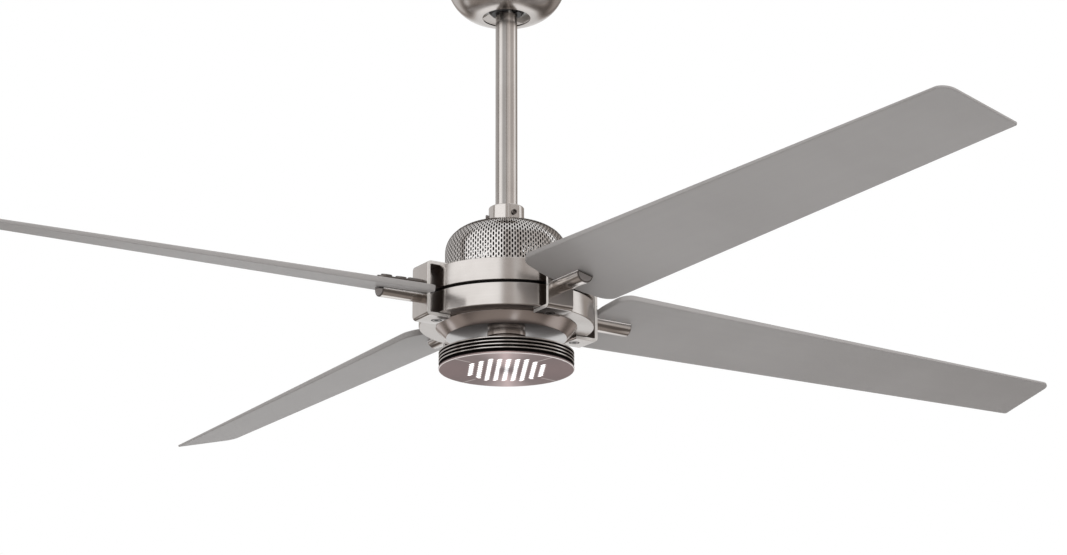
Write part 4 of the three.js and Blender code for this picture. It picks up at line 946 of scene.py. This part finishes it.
bracketLow, bracketHigh = nodeBox("blade_bracket_1")
bladePlace = Matrix.Translation((0, 0, bladeSize["level"])) @ turnedBy(bladeSize["droop"], "Y") \
    @ turnedBy(-bladeSize["pitch"], "X")
rootHalf = bladeThickness(armSize["outer"]) / 2
barTop, strapBottom = -rootHalf - seatGap, rootHalf + seatGap
for arm in range(4):
    armPlace = turnedBy(90 * arm, "Z")
    onBlade = armPlace @ bladePlace
    number = arm + 1

    plate, plateFaces, plateMap, plateKind = bracketShape(armSize, bracketLow[2], bracketHigh[2])
    hidden = armSize["barInside"]
    bar, barFaces, barKind = halfBar(armSize["bar"], armSize["barDepth"], armSize["barWallHighlight"],
                                     armSize["outer"] - hidden, armSize["barLength"] + hidden, armSize["barEdge"], -1)
    barMap = bar[:, :2]
    bar = placed(bar + [0, 0, barTop], onBlade)
    points, faces = together((placed(plate, armPlace), plateFaces), (bar, barFaces))
    flat = np.concatenate([plateMap[:, 1:3], barMap])
    kind = np.concatenate([plateKind, barKind])
    makePiece(f"bracket_{number}", points, faces, "rotor", f"blade_bracket_{number}",
              [armPlate, armEdgeHighlight, armInsideShade, barRimShade, barEndShade, barWallHighlight], flat=flat, kinds=kind)

    start, half, corner = armSize["outer"] + seatGap, clampSize["width"] / 2, 2 * clampSize["edge"]
    end = start + clampSize["length"]
    strapOutline = rounded([(start, -half, corner), (end, -half, half - 0.1), (end, half, half - 0.1),
                            (start, half, corner)], 10)
    strap, strapFaces = slab(strapOutline, strapBottom, strapBottom + clampSize["thick"], clampSize["edge"], 3)
    hump, humpFaces, _ = halfBar(clampSize["hump"], clampSize["hump"], 0, start, clampSize["humpLength"],
                                 clampSize["humpEdge"], 1)
    hump = hump + [0, 0, strapBottom + clampSize["humpLift"]]
    points, faces = together((strap, strapFaces), (hump, humpFaces))
    makePiece(f"clampStrap_{number}", placed(points, onBlade), faces, "rotor", f"top_clamp_{number}",
              [clampNickel], flat=points[:, :2])

    points, faces = bladeShape(bladeSize)
    makePiece(f"blade_{number}_skin", placed(points, onBlade), faces, "rotor", f"blade_{number}",
              [bladeSilver[arm]], flat=points[:, :2])

    for letter, station in zip("ab", armSize["bolts"]):
        seat = (armSize["outer"] + station, 0, strapBottom + clampSize["thick"] + clampSize["boltLift"])
        screwPiece(f"clampBolt_{number}{letter}", boltSize, onBlade @ Matrix.Translation(seat), "rotor",
                   f"clamp_bolt_{number}{letter}", screwDark)
    for side, level, flip in (("top", bracketHigh[2], 0), ("bottom", bracketLow[2], 180)):
        place = armPlace @ Matrix.Translation((armSize["screwAt"], 0, level)) @ turnedBy(flip, "X")
        screwPiece(f"flangeScrew_{side}_{number}", flangeScrewSize, place, "rotor",
                   f"bracket_screw_{side}_{number}", seatScrew)

print("hidden pieces")

finishOf = {"hanger_bracket": zincPlate, "hanger_ball": ballPlastic, "hanger_pin": zincPlate, "rod_pin": zincPlate,
            "coupling": darkSteelAndShade, "cage_base": darkSteelAndShade, "driver_box": blackPlastic, "motor_shaft": machined,
            "stator_core": darkSteelAndShade, "stator_winding": copperWire, "magnet_ring": magnetBlack,
            "upper_bearing": machined, "lower_bearing": machined, "led_board": boardWhite}
for node, metal in finishOf.items():
    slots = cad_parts[node].material_slots
    if not slots:
        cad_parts[node].data.materials.append(metal)
    for place in slots:
        place.material = metal

print("studio")

studio = {"floorLevel": -12.0, "floorHalf": 90.0, "cameraTurn": 31.781}
half, level = studio["floorHalf"], studio["floorLevel"]
paleFloor = finish("pale floor", lambda sheet: {
    "Base Color": sheet.mix(sheet.noise(sheet.objectPlace(), 0.6, 3.0), (0.86, 0.86, 0.86), (0.9, 0.9, 0.9)),
    "Roughness": 0.9})
corners = [(-half, -half, level), (half, -half, level), (half, half, level), (-half, half, level)]
floor = newObject("floor", corners, [(0, 1, 2, 3)], [paleFloor])
floor.visible_glossy = False  # the metal mirrors the soft boxes instead

# Soft boxes all round that the metal mirrors. Each has the bearing of its middle (degrees from the camera's side,
# right is positive), half its width, the softness of its sides, its lowest and highest level, and its brightness.
softBoxes = [(-45, 39, 4, -14, 52, 1.05), (8, 13, 3, -14, 52, 0.34), (13, 4, 2, -14, 52, 0.18),
             (55, 33, 8, -14, 52, 0.4), (104, 12, 6, -14, 52, 0.95), (138, 20, 6, -14, 52, 0.25),
             (-126, 34, 5, -14, 52, 0.52), (180, 13, 6, -28, 24, 0.64), (180, 13, 6, -4, 24, 0.16),
             (180, 18, 6, -60, -28, 1.0), (-130, 9, 4, -31, -27, 1.1), (28, 10, 5, -84, -64, 0.5),
             (0, 190, 5, -100, -52, 0.17), (-116, 20, 8, -50, -27, 0.22), (118, 20, 8, -50, -27, 0.4),
             (0, 190, 5, 52, 100, 0.7)]
softEdge = 7  # degrees, of a box's lowest and highest level
mirrorBase = 0.12  # brightness between the boxes
warmDark = (1.0, 0.88, 0.8)  # tint of what is dim
# The even light that reaches matt surfaces: strong from the sides, weaker from above, a little more from -Y.
dome = {"side": 1.25, "top": 0.55, "front": 0.6}


# Glossy rays see the soft boxes added up over the base, the camera sees plain white, and all other rays the dome.
def studioWorld():
    world = bpy.data.worlds.new("studio")
    bpy.context.scene.world = world
    world.use_nodes = True
    sheet = Sheet(world.node_tree)
    x, y, z = sheet.parts(sheet.node("TexCoord", None, None, "Generated"))
    turn = math.radians(studio["cameraTurn"])
    right = x * math.cos(turn) - y * math.sin(turn)
    near = (x * math.sin(turn) + y * math.cos(turn)) * -1
    bearing = sheet.bearing(right, near)
    height = sheet.math("ARCSINE", z) * (180 / math.pi)
    mirrored = mirrorBase
    for middle, half, soft, low, high, bright in softBoxes:
        across = 1 - sheet.rise(sheet.between(bearing, middle), half - soft, half + soft)
        mirrored = across * sheet.window(height, low, high, softEdge) * bright + mirrored
    matt = dome["side"] - sheet.rise(height, 25, 75) * (dome["side"] - dome["top"]) - y * dome["front"]
    rays = sheet.node("LightPath", None, None, "Is Camera Ray")
    glossy = rays.other("Is Glossy Ray")
    strength = (mirrored * glossy + matt * (1 - glossy)) * (1 - rays) + rays
    background = world.node_tree.nodes["Background"]
    pale = sheet.math("MAXIMUM", sheet.rise(mirrored, 0.2, 0.8), 1 - glossy)
    colour = sheet.mix(pale, warmDark, (1.0, 1.0, 1.0))
    world.node_tree.links.new(colour.socket, background.inputs["Color"])
    world.node_tree.links.new(strength.socket, background.inputs["Strength"])


studioWorld()

# The camera stands below and to the front, looking up. Its lens, place and shift follow the photograph's view.
view = {"lens": 85.57, "place": (-1.400, -2.260, -1.160), "turn": (105.876, 0.0, -31.781), "shift": (0.0252, 0.0244)}
cameraData = bpy.data.cameras.new("camera")
cameraData.lens = view["lens"]
cameraData.sensor_width = 36
cameraData.sensor_fit = "HORIZONTAL"
cameraData.shift_x, cameraData.shift_y = view["shift"]
camera = bpy.data.objects.new("camera", cameraData)
camera.location = view["place"]
camera.rotation_euler = [math.radians(angle) for angle in view["turn"]]
bpy.context.scene.collection.objects.link(camera)
bpy.context.scene.camera = camera
bpy.context.scene.view_settings.view_transform = "Standard"
